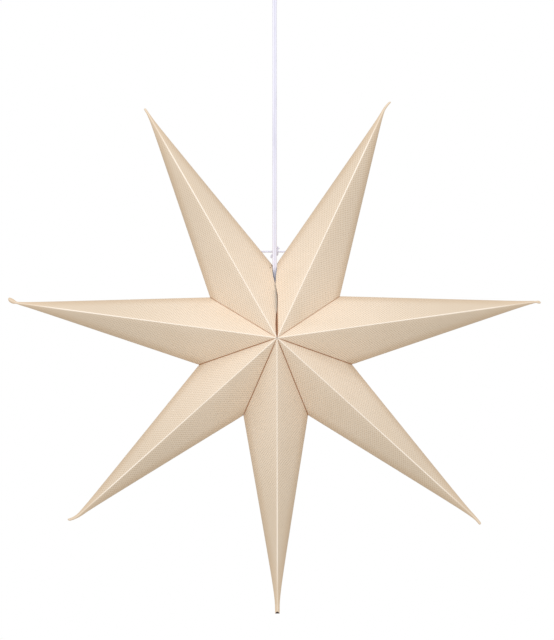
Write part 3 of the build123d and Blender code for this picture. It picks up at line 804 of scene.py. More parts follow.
@dataclass
class PaperPoint:
    """One hollow paper point: four panels, its glued flaps and its pinched and curled tail."""

    name: str
    bearing: float
    end_share: float
    aim_share: float
    tail_share: float
    tail_width_share: float
    curl_share: float
    index: int
    plan: StarPlan
    stub_shares: Table = ((0.0, 0.9), (1.0, 0.7))
    tail_depth: float = 1.4 * MM
    tail_bow: float = 0.6
    tail_round: float = 1.3 * MM
    tail_blunt: float = 0.4
    tail_tip: float = 0.3 * MM
    tail_seam: float = 2 * MM
    tail_wall_share: float = 0.08
    tail_wall_run: float = 9 * MM
    lip_drop: float = 2.3 * MM
    row_pitch: float = 4.5 * MM
    column_count: int = 11
    ridge_half: float = 0.42 * MM
    ridge_drop: float = 0.20 * MM
    ridge_drop_share: float = 0.15
    ripple: float = 0.55 * MM
    ripple_rate: float = 14
    ripple_fade: float = 60 * MM
    weld: float = 0.004 * MM

    def __post_init__(self) -> None:
        """Work out lengths from the shares."""
        reach = self.plan.reach
        self.end = self.end_share * reach
        self.aim = self.aim_share * reach
        self.tail = self.tail_share * reach
        self.tail_width = self.tail_width_share * reach
        self.curl = self.curl_share * reach
        self.seed = 7.3 * self.index
        self.last_index = len(self.plan.valleys) - 2
        self.open_tail = self.name == "point_bottom"

    def valley(self, flank: Flank) -> float:
        """Bearing of the valley on a flank, in degrees."""
        return self.plan.valleys[self.index + (0 if flank is Flank.COUNTER_CLOCKWISE else 1)]

    def turn(self, flank: Flank) -> float:
        """Angle between the ridge and a flank's valley, in radians."""
        return abs(radians(self.valley(flank) - self.bearing))

    def slit_side(self, flank: Flank) -> int:
        """1 for a flank to the right of the open slit, -1 to its left, and 0 at a glued valley."""
        sides = {(0, Flank.COUNTER_CLOCKWISE): 1, (self.last_index, Flank.CLOCKWISE): -1}
        return sides.get((self.index, flank), 0)

    def section(self, along: float, flank: Flank) -> tuple[float, float, float, float]:
        """The point's section at a distance from the centre.

        The side fold runs through the end of the valley.

        Args:
            along: The distance along the ridge's bearing.
            flank: The side of the point.

        Returns:
            Half width, half depth, bow and sideways shift.
        """
        turn, run = self.turn(flank), self.plan.valley_reach
        base_width = self.aim * run * sin(turn) / (self.aim - run * cos(turn))
        taper = max(0.0, 1 - along / self.aim)
        share = max(0.0, (along - self.tail) / (self.end - self.tail))
        stub = along_table(self.stub_shares, share)[0]
        if not self.open_tail:
            left = min(1.0, (self.end - along) / self.tail_round)
            stub *= self.tail_blunt + (1 - self.tail_blunt) * sqrt(max(0.0, left * (2 - left)))
        width = hypot(base_width * taper, self.tail_width * stub)
        depth = hypot(self.plan.half_depth * taper, self.tail_depth * stub)
        bow = along_table(self.plan.bow_shares, along / self.plan.reach)[0]
        bow += (self.tail_bow - bow) * smooth_step(2 * share)
        return width, depth, bow, self.curl * share**2

    def rows(self) -> list[float]:
        """The distances at which the point has a row of vertices.

        Returns:
            The distances, with closer rows beside the slit and in the tail.
        """
        beside_slit = any(self.slit_side(flank) for flank in Flank)
        near_pitch = self.plan.slit_pitch if beside_slit else self.row_pitch
        pitches = {self.plan.valley_reach * cos(self.turn(flank)): near_pitch for flank in Flank}
        pitches[self.tail] = self.row_pitch
        pitches[self.end - self.tail_round] = self.row_pitch / 6
        pitches[self.end] = self.tail_round / 5
        rows = [self.plan.hub]
        for mark in sorted(pitches):
            start = rows[-1]
            count = max(1, round((mark - start) / pitches[mark]))
            rows += [start + (mark - start) * step / count for step in range(1, count + 1)]
        return rows

    def world(self, along: float, across: float, depth: float) -> Vector:
        """A place in the frame.

        Args:
            along: How far out it lies along the ridge's bearing.
            across: How far counter-clockwise from the ridge.
            depth: How far behind the star's middle plane.

        Returns:
            The place.
        """
        angle = radians(self.bearing)
        x = along * cos(angle) - across * sin(angle)
        z = along * sin(angle) + across * cos(angle)
        return STAR_CENTRE + Vector((x, depth, z))

    def build(self) -> bpy.types.Object:
        """Make the point as one closed paper shell.

        Returns:
            The finished object, at the origin and untransformed.
        """
        mesh = bmesh.new()
        mesh.loops.layers.uv.new("unfolded")
        for name in Panel.MARKS:
            mesh.verts.layers.float.new(name)
        rows = self.rows()
        for facing in Facing:
            for flank in Flank:
                Panel(self, facing, flank).weave(mesh, rows)
        if not self.open_tail:
            self.close_tail(mesh, rows[-1])
        bmesh.ops.remove_doubles(mesh, verts=mesh.verts[:], dist=self.weld)
        bmesh.ops.dissolve_degenerate(mesh, edges=mesh.edges[:], dist=self.weld / 2)
        piece = piece_of(mesh, self.name + "_paper")
        piece.data.shade_smooth()
        self.thicken(piece)
        if self.index == self.last_index:
            self.punch(piece)
        piece.data.set_sharp_from_angle(angle=PAPER_ANGLE)
        return piece

    def close_tail(self, mesh: bmesh.types.BMesh, along: float) -> None:
        """Press the tail's end shut.

        Args:
            mesh: The mesh being made.
            along: Where the last row is.
        """
        ring: list[Vector] = []
        quarters = (
            (Facing.FRONT, Flank.COUNTER_CLOCKWISE, 1), (Facing.BACK, Flank.COUNTER_CLOCKWISE, -1),
            (Facing.BACK, Flank.CLOCKWISE, 1), (Facing.FRONT, Flank.CLOCKWISE, -1),
        )
        for facing, flank, order in quarters:
            line = Panel(self, facing, flank).row(along)[0][: self.column_count + 1]
            ring += line[::order]
        middle = sum(ring, Vector()) / len(ring)
        lip = [mesh.verts.new(place) for place in ring]
        tip = mesh.verts.new(middle + (self.world(1, 0, 0) - self.world(0, 0, 0)) * self.tail_tip)
        unfolded = mesh.loops.layers.uv["unfolded"]
        for first, second in zip(lip, lip[1:] + lip[:1]):
            if (first.co - second.co).length > self.weld / 4:
                for loop in mesh.faces.new((second, first, tip)).loops:
                    loop[unfolded].uv = (along, self.tail_seam)

    def thicken(self, piece: bpy.types.Object) -> None:
        """Give the sheet its thickness, mark the inner side of the wall, and paint it.

        Args:
            piece: The bare sheet.
        """
        slim = piece.vertex_groups.new(name="thickness")
        inner = piece.vertex_groups.new(name="inner")
        axis = (self.world(1, 0, 0) - self.world(0, 0, 0)).normalized()
        for vertex in piece.data.vertices:
            left = self.end - (vertex.co - STAR_CENTRE).dot(axis)
            rise = 1.0 if self.open_tail else smooth_step(left / self.tail_wall_run)
            share = rise * (1 - self.tail_wall_share) + self.tail_wall_share
            slim.add([vertex.index], share, "REPLACE")
        wall = piece.modifiers.new("wall", "SOLIDIFY")
        wall.thickness = self.plan.paper
        wall.offset = -1
        wall.vertex_group = slim.name
        wall.shell_vertex_group = inner.name
        inner_index = inner.index
        apply_modifiers(piece)
        # the inner side of the wall carries painted shade in the paper's finish
        inside = piece.data.attributes.new("inside", "FLOAT", "POINT")
        for vertex, mark in zip(piece.data.vertices, inside.data):
            shares = (share.weight for share in vertex.groups if share.group == inner_index)
            mark.value = max(shares, default=0.0)
        piece.vertex_groups.clear()
        piece.data.materials.append(PAPER.material())

    def punch(self, piece: bpy.types.Object) -> None:
        """Cut the small round hole beside the slit through the front wall.

        Args:
            piece: The finished wall.
        """
        plan = self.plan
        across, up = (share * plan.valley_reach for share in plan.punch_shares)
        middle = STAR_CENTRE + Vector((across, -plan.punch_depth_share * plan.half_depth, up))
        mesh = bmesh.new()
        radius = plan.punch_radius
        bmesh.ops.create_cone(
            mesh, cap_ends=True, segments=24, radius1=radius, radius2=radius, depth=plan.half_depth
        )
        for vert in mesh.verts:
            x, y, z = vert.co
            vert.co = middle + Vector((x, z, -y))
        cutter = piece_of(mesh, "punch")
        cut = piece.modifiers.new("punch", "BOOLEAN")
        cut.operation = "DIFFERENCE"
        cut.solver = "EXACT"
        cut.object = cutter
        apply_modifiers(piece)
        bpy.data.objects.remove(cutter)


@dataclass
class Panel:
    """A quarter of a point: its front or back on one flank, with the flap along the valley."""

    # "glued" holds how strong the painted shade is in a valley's crease or the slit's gap; "to_side" feeds
    # the painted shade along the side folds
    MARKS = ("to_valley", "glued", "to_side")
    SEARCH_STEPS = 30
    SEARCH_MARGIN = 10 * MM

    point: PaperPoint
    facing: Facing
    flank: Flank

    def __post_init__(self) -> None:
        """Look up the plan, the angle to the valley, and the side of the slit."""
        self.plan = self.point.plan
        self.turn = self.point.turn(self.flank)
        self.slit_side = self.point.slit_side(self.flank)

    def from_slit(self, place: Vector) -> float:
        """How far a place lies from the slit's edge.

        Args:
            place: A place in the frame.

        Returns:
            The distance, below 0 when it is past the edge.
        """
        local = place - STAR_CENTRE
        edge = self.plan.slit_edges(local.z, self.facing)[0 if self.slit_side < 0 else 1]
        return self.slit_side * (local.x - edge)

    def limit(self, along: float) -> float:
        """How far from the ridge the paper reaches before it meets the neighbour.

        Args:
            along: The distance along the ridge's bearing.

        Returns:
            The distance across.
        """
        if not self.slit_side:
            return max(0.0, along * tan(self.turn) - self.plan.gap / cos(self.turn))
        low, high = 0.0, along * tan(self.turn) + self.SEARCH_MARGIN
        for _ in range(self.SEARCH_STEPS):
            across = (low + high) / 2
            if self.from_slit(self.point.world(along, self.flank.value * across, 0)) > 0:
                low = across
            else:
                high = across
        return low

    def row(self, along: float) -> tuple[list[Vector], list[float]]:
        """One row of vertices, from the ridge to the valley or the side fold, then down the flap.

        Args:
            along: The distance along the ridge's bearing.

        Returns:
            The vertices' places, and how far each lies from the side fold's line.
        """
        point, side, front = self.point, self.flank.value, self.facing.value
        width, depth, bow, shift = point.section(along, self.flank)
        edge = min(self.limit(along), width)
        last = 1 - sqrt(max(0.0, 1 - edge / width))
        first = min(1 - sqrt(max(0.0, 1 - point.ridge_half / width)), last / 3)
        count = point.column_count - 1
        steps = [0.0] + [first + (last - first) * step / count for step in range(count + 1)]
        wobble = noise.noise(Vector((along * point.ripple_rate, point.seed + side * 3, front * 5)))
        for distance in (along, point.tail - along):
            wobble *= smooth_step(distance / point.ripple_fade)
        row, to_side = [], []
        for step in steps:
            across = width * (2 * step - step * step)
            deep = depth * ((1 - step) ** 2 + 2 * bow * step * (1 - step))
            if step == 0:
                deep -= min(point.ridge_drop, point.ridge_drop_share * depth)
            if edge > 0:
                deep += point.ripple * wobble * sin(pi * across / edge)
            row.append(point.world(self.lip(along, across / width), shift + side * across, front * deep))
            to_side.append(width - across)
        row += self.flap(row[-1], deep if edge < width else 0.0)
        to_side += [to_side[-1]] * (len(row) - len(to_side))
        return row, to_side

    def lip(self, along: float, share: float) -> float:
        """Where a row runs at an open tail, whose front lip is shorter than the back one.

        Args:
            along: The row's distance along the ridge's bearing.
            share: How far the vertex lies from the ridge towards the side fold.

        Returns:
            The vertex's own distance along the bearing.
        """
        point = self.point
        if not point.open_tail or self.facing is Facing.BACK:
            return along
        late = smooth_step((along - point.tail) / (point.end - point.tail))
        return along - point.lip_drop * late * (1 - share * share)

    def flap(self, edge: Vector, deep: float) -> list[Vector]:
        """The places of the flap that is folded in from the panel's edge.

        Args:
            edge: Where the panel ends.
            deep: How far the edge lies from the star's middle plane, or 0 for no flap.

        Returns:
            The flap's further places.
        """
        plan, side = self.plan, self.slit_side
        depth, slant = min(plan.flap, plan.flap_share * deep), 0.0
        if side and deep > 0:
            height = edge.z - STAR_CENTRE.z
            low, high = (share * plan.valley_reach for share in plan.slit_open_shares)
            parted = smooth_step((height - low) / (high - low))
            left, right = plan.slit_edges(height, self.facing)
            shown = min(plan.slit_flap, plan.slit_flap_widths * (right - left), plan.slit_flap_share * deep)
            depth = max(plan.slit_turned, shown) * (1 - parted) + plan.slit_turned * parted
            slant = ((left + right) / 2 + side * plan.slit_half_gap - edge.x) * (1 - parted)
            slant = side * min(0.0, side * slant)
        return [
            edge + Vector((slant * smooth_step(share), -self.facing.value * depth * share, 0))
            for share in plan.flap_steps
        ]

    def marks(self, place: Vector) -> Pair:
        """How a place lies to the glued valley or to the edge of the slit, seen from the front.

        Args:
            place: A place in the frame.

        Returns:
            The distance from it, and how strong the brown line is there: the glued joint with painted shade
            in a valley's crease, or painted shade in the slit's gap.
        """
        plan = self.plan
        local = place - STAR_CENTRE
        # painted shade in the slit's gap, deeper towards the bottom and fading out where the cord goes in
        if self.slit_side:
            share = local.z / plan.valley_reach
            low = smooth_step((plan.slit_browner_below - share) / plan.slit_browner_over)
            fade = smooth_step((plan.slit_open_shares[0] - share) / plan.slit_fade)
            distance = max(0.0, self.from_slit(place)) * plan.slit_line_scale
            return distance, fade * (plan.slit_brown + (1 - plan.slit_brown) * low)
        angle = radians(self.point.valley(self.flank))
        out = Vector((cos(angle), 0, sin(angle)))
        flat = Vector((local.x, 0, local.z))
        run = max(0.0, min(plan.valley_reach, flat.dot(out)))
        strength = smooth_step((run - plan.glue_start) / (plan.glue_full - plan.glue_start))
        # the painted shade in the crease is stronger on the lower valleys, which the light from above reaches
        # less
        return (flat - out * run).length, strength * (1.0 if out.z < 0 else plan.glue_above)

    def weave(self, mesh: bmesh.types.BMesh, rows: Sequence[float]) -> None:
        """Add the panel's vertices with their marks, and its faces with the unfolded sheet's places.

        Args:
            mesh: The mesh being made.
            rows: The distances along the ridge at which it has a row of vertices.
        """
        layers = [mesh.verts.layers.float[name] for name in self.MARKS]
        unfolded = mesh.loops.layers.uv["unfolded"]
        slope = hypot(1, self.plan.half_depth / self.point.aim)
        grid = []
        for along in rows:
            line, to_side = self.row(along)
            run, corners = 0.0, []
            for before, place, distance in zip([line[0], *line], line, to_side):
                run += (place - before).length
                vert = mesh.verts.new(place)
                for layer, mark in zip(layers, (*self.marks(place), distance)):
                    vert[layer] = mark
                corners.append((vert, (along * slope, run * self.flank.value)))
            grid.append(corners)
        turned = self.facing.value * self.flank.value > 0
        for low, high in zip(grid, grid[1:]):
            for column in range(len(low) - 1):
                corners = [low[column], high[column], high[column + 1], low[column + 1]]
                if turned:
                    corners.reverse()
                face = mesh.faces.new([vert for vert, _ in corners])
                for loop, (_, sheet_place) in zip(face.loops, corners):
                    loop[unfolded].uv = sheet_place


@dataclass
class PaperStar:
    """The seven points.

    A row is the name, the bearing, and the shares of the star's reach at which the point ends, its
    straight sides would meet and its tail starts, then the tail's width and how far it curls.
    """

    plan: StarPlan = field(default_factory=StarPlan)
    point_shares: tuple[tuple, ...] = (
        ("point_upper_right", 65.1, 0.999, 0.966, 0.952, 0.0054, -0.0098),
        ("point_right", 9.0, 0.998, 0.986, 0.970, 0.0056, -0.0055),
        ("point_lower_right", -41.3, 1.012, 0.990, 0.968, 0.0070, -0.0045),
        ("point_bottom", -89.6, 0.999, 0.978, 0.945, 0.0088, 0.0),
        ("point_lower_left", -138.6, 1.006, 0.985, 0.958, 0.0072, -0.0130),
        ("point_left", -188.6, 1.002, 0.979, 0.952, 0.0082, -0.0105),
        ("point_upper_left", -240.9, 1.000, 0.981, 0.965, 0.0056, 0.0020),
    )
    pinched_shares: dict[str, Table] = field(default_factory=lambda: {
        "point_left": ((0.0, 0.55), (0.35, 0.5), (0.6, 1.0), (0.85, 1.0), (1.0, 0.7)),
        "point_right": ((0.0, 0.8), (0.4, 0.7), (0.7, 1.0), (1.0, 0.75)),
        "point_bottom": ((0.0, 1.0), (1.0, 0.95)),
    })

    def build(self) -> None:
        """Make, place and register all the points."""
        for index, row in enumerate(self.point_shares):
            point = PaperPoint(*row, index=index, plan=self.plan)
            point.stub_shares = self.pinched_shares.get(point.name, point.stub_shares)
            register(point.build(), "star", point.name, "paper")


@dataclass
class Strand:
    """A cord or string: a profile swept along a route by a Geometry Nodes tree."""

    name: str
    route: list[Vector]
    profile: list[Pair]
    turns: float
    finish: Finish
    rest_turn: float = 0.0
    twist_shares: Pair = (0.0, 1.0)

    def curve(self, name: str, points: Sequence[Sequence[float]], closed: bool) -> bpy.types.Object:
        """A curve object of one spline.

        Args:
            name: What is added to the strand's name.
            points: The spline's points.
            closed: Whether it is a closed outline of straight sides, or else a smooth line.

        Returns:
            The linked curve object.
        """
        curve = bpy.data.curves.new(self.name + name, "CURVE")
        curve.dimensions = "3D"
        curve.resolution_u = 24
        line = curve.splines.new("POLY" if closed else "NURBS")
        line.points.add(len(points) - 1)
        for point, place in zip(line.points, points):
            point.co = (*place, 1)
        line.use_cyclic_u = closed
        if not closed:
            line.order_u = 3
            line.use_endpoint_u = True
        return linked(self.name + name, curve)

    def sweep(self) -> Recipe:
        """The tree that twists the route and sweeps the profile along it.

        Returns:
            The finished tree.
        """
        recipe = Recipe(
            self.name + "_sweep", Route="Geometry", Profile="Object", Turns="Float", Rest="Float",
            Start="Float", End="Float",
        )
        factor = Field(recipe, recipe.add("GeometryNodeSplineParameter").outputs["Factor"])
        start, end = recipe.number("Start"), recipe.number("End")
        share = (factor - start).maths("DIVIDE", end - start, clamp=True)
        twist = share * recipe.number("Turns") + recipe.number("Rest")
        route = recipe.step("SetCurveTilt", Curve=recipe["Route"], Tilt=twist)
        inputs = {0: recipe.step("InputPosition")}
        reach = recipe.add("ShaderNodeVectorMath", {"operation": "LENGTH"}, inputs).outputs["Value"]
        profile = recipe.from_object("Profile")
        marked = recipe.step("StoreNamedAttribute", Geometry=profile, Name="from_middle", Value=reach)
        tube = recipe.step("CurveToMesh", Curve=route, Profile_Curve=marked, Fill_Caps=True)
        return recipe.close(recipe.step("SetShadeSmooth", Geometry=tube))

    def build(self) -> tuple[bpy.types.Object, list[Vector]]:
        """Sweep the profile along the route.

        Returns:
            The strand as a plain mesh object, and close points along the smooth line that it follows.
        """
        guide = self.curve("_route", self.route, closed=False)
        outline = self.curve("_profile", [(x, y, 0) for x, y in self.profile], closed=True)
        line = evaluated(guide)
        path = [vertex.co.copy() for vertex in line.vertices]
        bpy.data.meshes.remove(line)
        start, end = self.twist_shares
        self.sweep().put_on(
            guide, Profile=outline, Turns=2 * pi * self.turns, Rest=self.rest_turn, Start=start, End=end,
            Material=self.finish.material(),
        )
        data = evaluated(guide)
        for left in (guide, outline):
            bpy.data.objects.remove(left)
        data.name = self.name
        data.set_sharp_from_angle(angle=STRAND_ANGLE)
        return linked(self.name, data), path


def twin_profile(lobe: float, offset: float, count: int = 14) -> list[Pair]:
    """The section of a flat twin cord: two round cores side by side with a shallow groove.

    Args:
        lobe: The radius of each core's sheath.
        offset: How far each core lies from the middle.
        count: How many points each lobe has.

    Returns:
        The closed outline.
    """
    waist = pi - atan(sqrt(lobe**2 - offset**2) / offset) * 1.02
    angles = [-waist + 2 * waist * step / (count - 1) for step in range(count)]
    right = [(offset + lobe * cos(angle), lobe * sin(angle)) for angle in angles]
    return right + [(-x, -y) for x, y in right]


def lobed_profile(radius: float, lobes: int, depth: float, count: int = 30) -> list[Pair]:
    """The section of a twisted string, with a lobe for each of its strands.

    Args:
        radius: The string's radius.
        lobes: How many strands it has.
        depth: How deep the grooves between them are, as a share of the radius.
        count: How many points the outline has.

    Returns:
        The closed outline.
    """
    angles = [2 * pi * step / count for step in range(count)]
    reaches = [radius * (1 - depth * sin(lobes * angle / 2) ** 2) for angle in angles]
    return [(reach * cos(angle), reach * sin(angle)) for reach, angle in zip(reaches, angles)]


@dataclass
class Suspension:
    """The pendant cord and the string that ties the two points together behind it."""

    cord_way: Table = (
        (0, 0, -431.8), (0, 0, -424.5), (-0.3, -0.5, -418.5), (-0.8, -2.5, -411), (-1.05, -3.8, -403),
        (-1.05, -2.8, -396), (-1.0, -0.6, -388), (-1.0, 0, -379.5), (-1.0, 0, -370), (-1.0, 0, -330),
        (-1.0, 0, -150), (-1.1, 0, -118), (-1.0, 0, -96), (-0.45, 0, -72), (-0.05, 0, -60), (0, 0, -52),
        (0, 0, -46.85),
    )
    knot_way: Table = (
        (-4.7, 1.0, -7.2), (-4.6, 1.1, -4.8), (-3.4, 1.3, -3.2), (-1.4, 1.4, -3.8), (0.6, 1.2, -4.4),
        (2.2, 0.6, -3.4), (2.5, -0.6, -1.6), (2.4, -1.3, 0.2), (2.3, -0.8, 2.4), (1.0, 1.2, 3.6),
        (-0.6, 2.2, 2.2), (-1.0, 2.3, 0.0), (-0.4, 1.6, -2.4), (0.8, -0.6, -2.9), (0.7, -1.3, -0.6),
        (0.3, -1.2, 1.8), (0.9, 0.2, 4.4), (2.2, 1.0, 5.1), (3.3, 0.9, 4.6), (3.8, 0.6, 3.3),
    )
    lobe: float = 1.6 * MM
    core_offset: float = 1.0 * MM
    cord_turns: float = -0.139
    cord_rest_turn: float = radians(50)
    cord_twist: Pair = (0.86, 0.97)
    string_radius: float = 1.1 * MM
    string_lobes: int = 3
    string_depth: float = 0.1
    string_shares: tuple[float, ...] = (0, 0.2, 0.5, 0.8, 1)
    string_y: float = 4.9 * MM
    string_z: float = -383.9 * MM
    string_ends: Pair = (-24.53 * MM, 18.59 * MM)
    knot_length: float = 50 * MM
    stop_knot: float = 1.8 * MM
    stop_lumps: float = 9
    stop_lump_share: float = 0.06
    stop_lean: float = 0.7
    turns_per_metre: float = 300

    def cord(self, grips: Sequence[str]) -> None:
        """Args:
            grips: The names of the clamp's pieces that hold its top; not used.
        """
        route = [Vector(place) * MM for place in self.cord_way]
        strand = Strand(
            "flat_cord", route, twin_profile(self.lobe, self.core_offset), self.cord_turns, SHEATH,
            self.cord_rest_turn, self.cord_twist,
        )
        piece, path = strand.build()
        register(piece, "cord", "pendant_cord", "cord_sheath")

    def string(self) -> None:
        left, right = self.string_ends
        length = right - left
        height = Vector((0, self.string_y, self.string_z))
        route = [height + Vector((left + length * share, 0, 0)) for share in self.string_shares]
        knot_route = [height + Vector(place) * MM for place in self.knot_way]
        piece, path = self.twisted("tie_string_twisted", route, length)
        knot, _ = self.twisted("string_knot_tied", knot_route, self.knot_length)
        self.add_stop_knots(piece, (path[0], path[-1]))
        register(piece, "star", "tie_string", "string")
        register(knot, "star", "string_knot", "string")

    def twisted(self, name: str, route: list[Vector], length: float) -> tuple[bpy.types.Object, list[Vector]]:
        """Some string along a route, twisted for a length, and the points that it follows."""
        profile = lobed_profile(self.string_radius, self.string_lobes, self.string_depth)
        return Strand(name, route, profile, self.turns_per_metre * length, COTTON).build()

    def add_stop_knots(self, piece: bpy.types.Object, places: Sequence[Vector]) -> None:
        """Add a lumpy knot at each end of the string.

        Args:
            piece: The string's object.
            places: Where the knots are.
        """
        mesh = bmesh.new()
        mesh.from_mesh(piece.data)
        lump = self.stop_lump_share
        for place in places:
            made = bmesh.ops.create_icosphere(mesh, subdivisions=3, radius=self.stop_knot * (1 - lump))
            for vert in made["verts"]:
                x, y, z = vert.co
                winding = atan(z / (abs(x) + MERGE)) + self.stop_lean * y / self.stop_knot
                vert.co = place + vert.co * (1 + lump * sin(self.stop_lumps * winding))
        mesh.to_mesh(piece.data)
        mesh.free()
        piece.data.shade_smooth()


class Way(Enum):
    """Which way a screw's head faces."""

    FRONT = -1
    BACK = 1
    OUTWARDS = 0

    def direction(self, middle: Vector) -> Vector:
        """The direction of a screw's head.

        Args:
            middle: The middle of the screw.

        Returns:
            The direction, of length 1.
        """
        if self is Way.OUTWARDS:
            return Vector((1 if middle.x > 0 else -1, 0, 0))
        return Vector((0, self.value, 0))


@dataclass
class SubAssembly:
    """Pieces on one body that stand for nodes of the frame, each in its slot's finish."""

    frame: dict
    body: str
    screw_slot: float = 0.55 * MM
    screw_slot_reach: float = 1.2

    def slot_of(self, node: str) -> str:
        """The material slot of a node."""
        rows = self.frame["record"]["subparts"]
        return next(row["material_slot"] for row in rows if row["node"] == node)

    def material_of(self, node: str) -> bpy.types.Material:
        """The material of a node's finish."""
        return SLOT_FINISHES[self.slot_of(node)].material()

    def copy(self, node: str) -> bpy.types.Object:
        """A merged and smoothly shaded copy of a node's mesh.

        Args:
            node: The node's name.

        Returns:
            The new object in its finish, not yet on a body.
        """
        mesh = bmesh.new()
        mesh.from_mesh(self.frame["nodes"][node].data)
        bmesh.ops.remove_doubles(mesh, verts=mesh.verts[:], dist=MERGE)
        piece = piece_of(mesh, node + "_finished")
        piece.data.materials.append(self.material_of(node))
        shade(piece)
        return piece

    def keep(self, piece: bpy.types.Object, node: str) -> str:
        """Put a finished piece on the body in place of its node, and give its name."""
        register(piece, self.body, node, self.slot_of(node))
        return piece.name

    def copies(self, *nodes: str) -> list[str]:
        """Copy nodes whose shape is right as it is, and give the pieces' names."""
        return [self.keep(self.copy(node), node) for node in nodes]

    def run(self, recipe: Recipe, piece: bpy.types.Object, node: str, **values: object) -> str:
        """Run a Geometry Nodes tree on a piece and keep its result as the plain mesh.

        Args:
            recipe: The tree.
            piece: The piece.
            node: The node that it stands for.
            values: The tree's inputs by name.

        Returns:
            The piece's name.
        """
        recipe.put_on(piece, Material=self.material_of(node), **values)
        apply_modifiers(piece)
        shade(piece)
        return self.keep(piece, node)

    def screws(self, node: str, way: Way, turn: float = 0.0) -> str:
        """Copy a node of screws and cut a slot into each head.

        Args:
            node: The node's name.
            way: Which way the heads face.
            turn: How far the slots are turned from level.

        Returns:
            The piece's name.
        """
        piece = self.copy(node)
        heads, widest = [], 0.0
        for low, high in self.solids(piece):
            middle = (low + high) / 2
            heads.append(middle + Vector(a * b / 2 for a, b in zip(way.direction(middle), high - low)))
            widest = max(widest, (high - low).z)
        data = bpy.data.meshes.new(node + "_heads")
        data.from_pydata(heads, [], [])
        marks = linked(node + "_heads", data)
        long, deep, narrow = self.screw_slot_reach * widest, 2 * self.screw_slot, self.screw_slot
        sideways = way is Way.OUTWARDS
        size = (deep, long, narrow) if sideways else (long, deep, narrow)
        angles = (turn, 0, 0) if sideways else (0, turn, 0)
        name = self.run(self.slot_cutter(), piece, node, Heads=marks, Slot=size, Turn=angles)
        bpy.data.objects.remove(marks)
        return name

    @staticmethod
    def solids(piece: bpy.types.Object) -> list[tuple[Vector, Vector]]:
        """Box each separate solid of a piece.

        Args:
            piece: The piece.

        Returns:
            The lowest and highest corner of each solid.
        """
        mesh = bmesh.new()
        mesh.from_mesh(piece.data)
        left = dict.fromkeys(mesh.verts, True)
        boxes = []
        while left:
            reached = [left.popitem()[0]]
            for vert in reached:
                near = [edge.other_vert(vert) for edge in vert.link_edges]
                reached += [other for other in near if left.pop(other, False)]
            sides = list(zip(*(vert.co for vert in reached)))
            boxes.append((Vector(map(min, sides)), Vector(map(max, sides))))
        mesh.free()
        return boxes

    @staticmethod
    def slot_cutter() -> Recipe:
        """The tree that cuts a straight slot at each marked screw head.

        Returns:
            The finished tree.
        """
        recipe = Recipe("screw_slots", Screws="Geometry", Heads="Object", Slot="Vector", Turn="Rotation")
        bar = recipe.step("MeshCube", Size=recipe["Slot"])
        heads = recipe.from_object("Heads")
        bars = recipe.step("InstanceOnPoints", Points=heads, Instance=bar, Rotation=recipe["Turn"])
        inputs = {"Mesh 1": recipe["Screws"], "Mesh 2": recipe.step("RealizeInstances", Geometry=bars)}
        cut = recipe.add("GeometryNodeMeshBoolean", {"operation": "DIFFERENCE"}, inputs)
        return recipe.close(cut.outputs["Mesh"])

    @staticmethod
    def rib_ring() -> Recipe:
        """The tree that sets straight half-round ribs round a piece.

        Returns:
            The finished tree.
        """
        recipe = Recipe(
            "rib_ring", Piece="Geometry", Count="Int", Radius="Float", Length="Float",
            Thickness="Float", Middle="Vector", Turn="Rotation",
        )
        ring = recipe.step("MeshCircle", Vertices=recipe["Count"], Radius=recipe["Radius"])
        half = recipe.number("Thickness") / 2
        rib = recipe.step("MeshCylinder", Vertices=10, Radius=half, Depth=recipe["Length"])
        ribs = recipe.step("InstanceOnPoints", Points=ring, Instance=rib)
        middle, turn = recipe["Middle"], recipe["Turn"]
        placed = recipe.step("Transform", Geometry=ribs, Translation=middle, Rotation=turn)
        joined = recipe.add("GeometryNodeJoinGeometry")
        for part in (recipe["Piece"], placed):
            recipe.feed(joined.inputs[0], part)
        return recipe.close(joined.outputs[0])

    @staticmethod
    def rounded_thread() -> Recipe:
        """The tree that presses a rounded screw thread into a thin round wall about the Z axis.

        Returns:
            The finished tree.
        """
        numbers = ("Pitch", "Depth", "Lean", "Low", "High")
        recipe = Recipe("rounded_thread", Wall="Geometry", **dict.fromkeys(numbers, "Float"))
        pitch, depth, lean, low, high = (recipe.number(name) for name in numbers)
        parts = recipe.add("ShaderNodeSeparateXYZ", inputs={0: recipe.step("InputPosition")})
        x, y, z = (Field(recipe, part) for part in parts.outputs)
        wave = (z / pitch * (2 * pi) - y.maths("ARCTAN2", x)).maths("SINE") * 0.5 + lean
        fade = z.rise(low, low + pitch / 2) * z.rise(high, high - pitch / 2)
        factor = wave * fade * depth / (x * x + y * y).root() + 1
        moved = recipe.first("ShaderNodeCombineXYZ", X=x * factor, Y=y * factor, Z=z)
        return recipe.close(recipe.step("SetPosition", Geometry=recipe["Wall"], Position=moved))

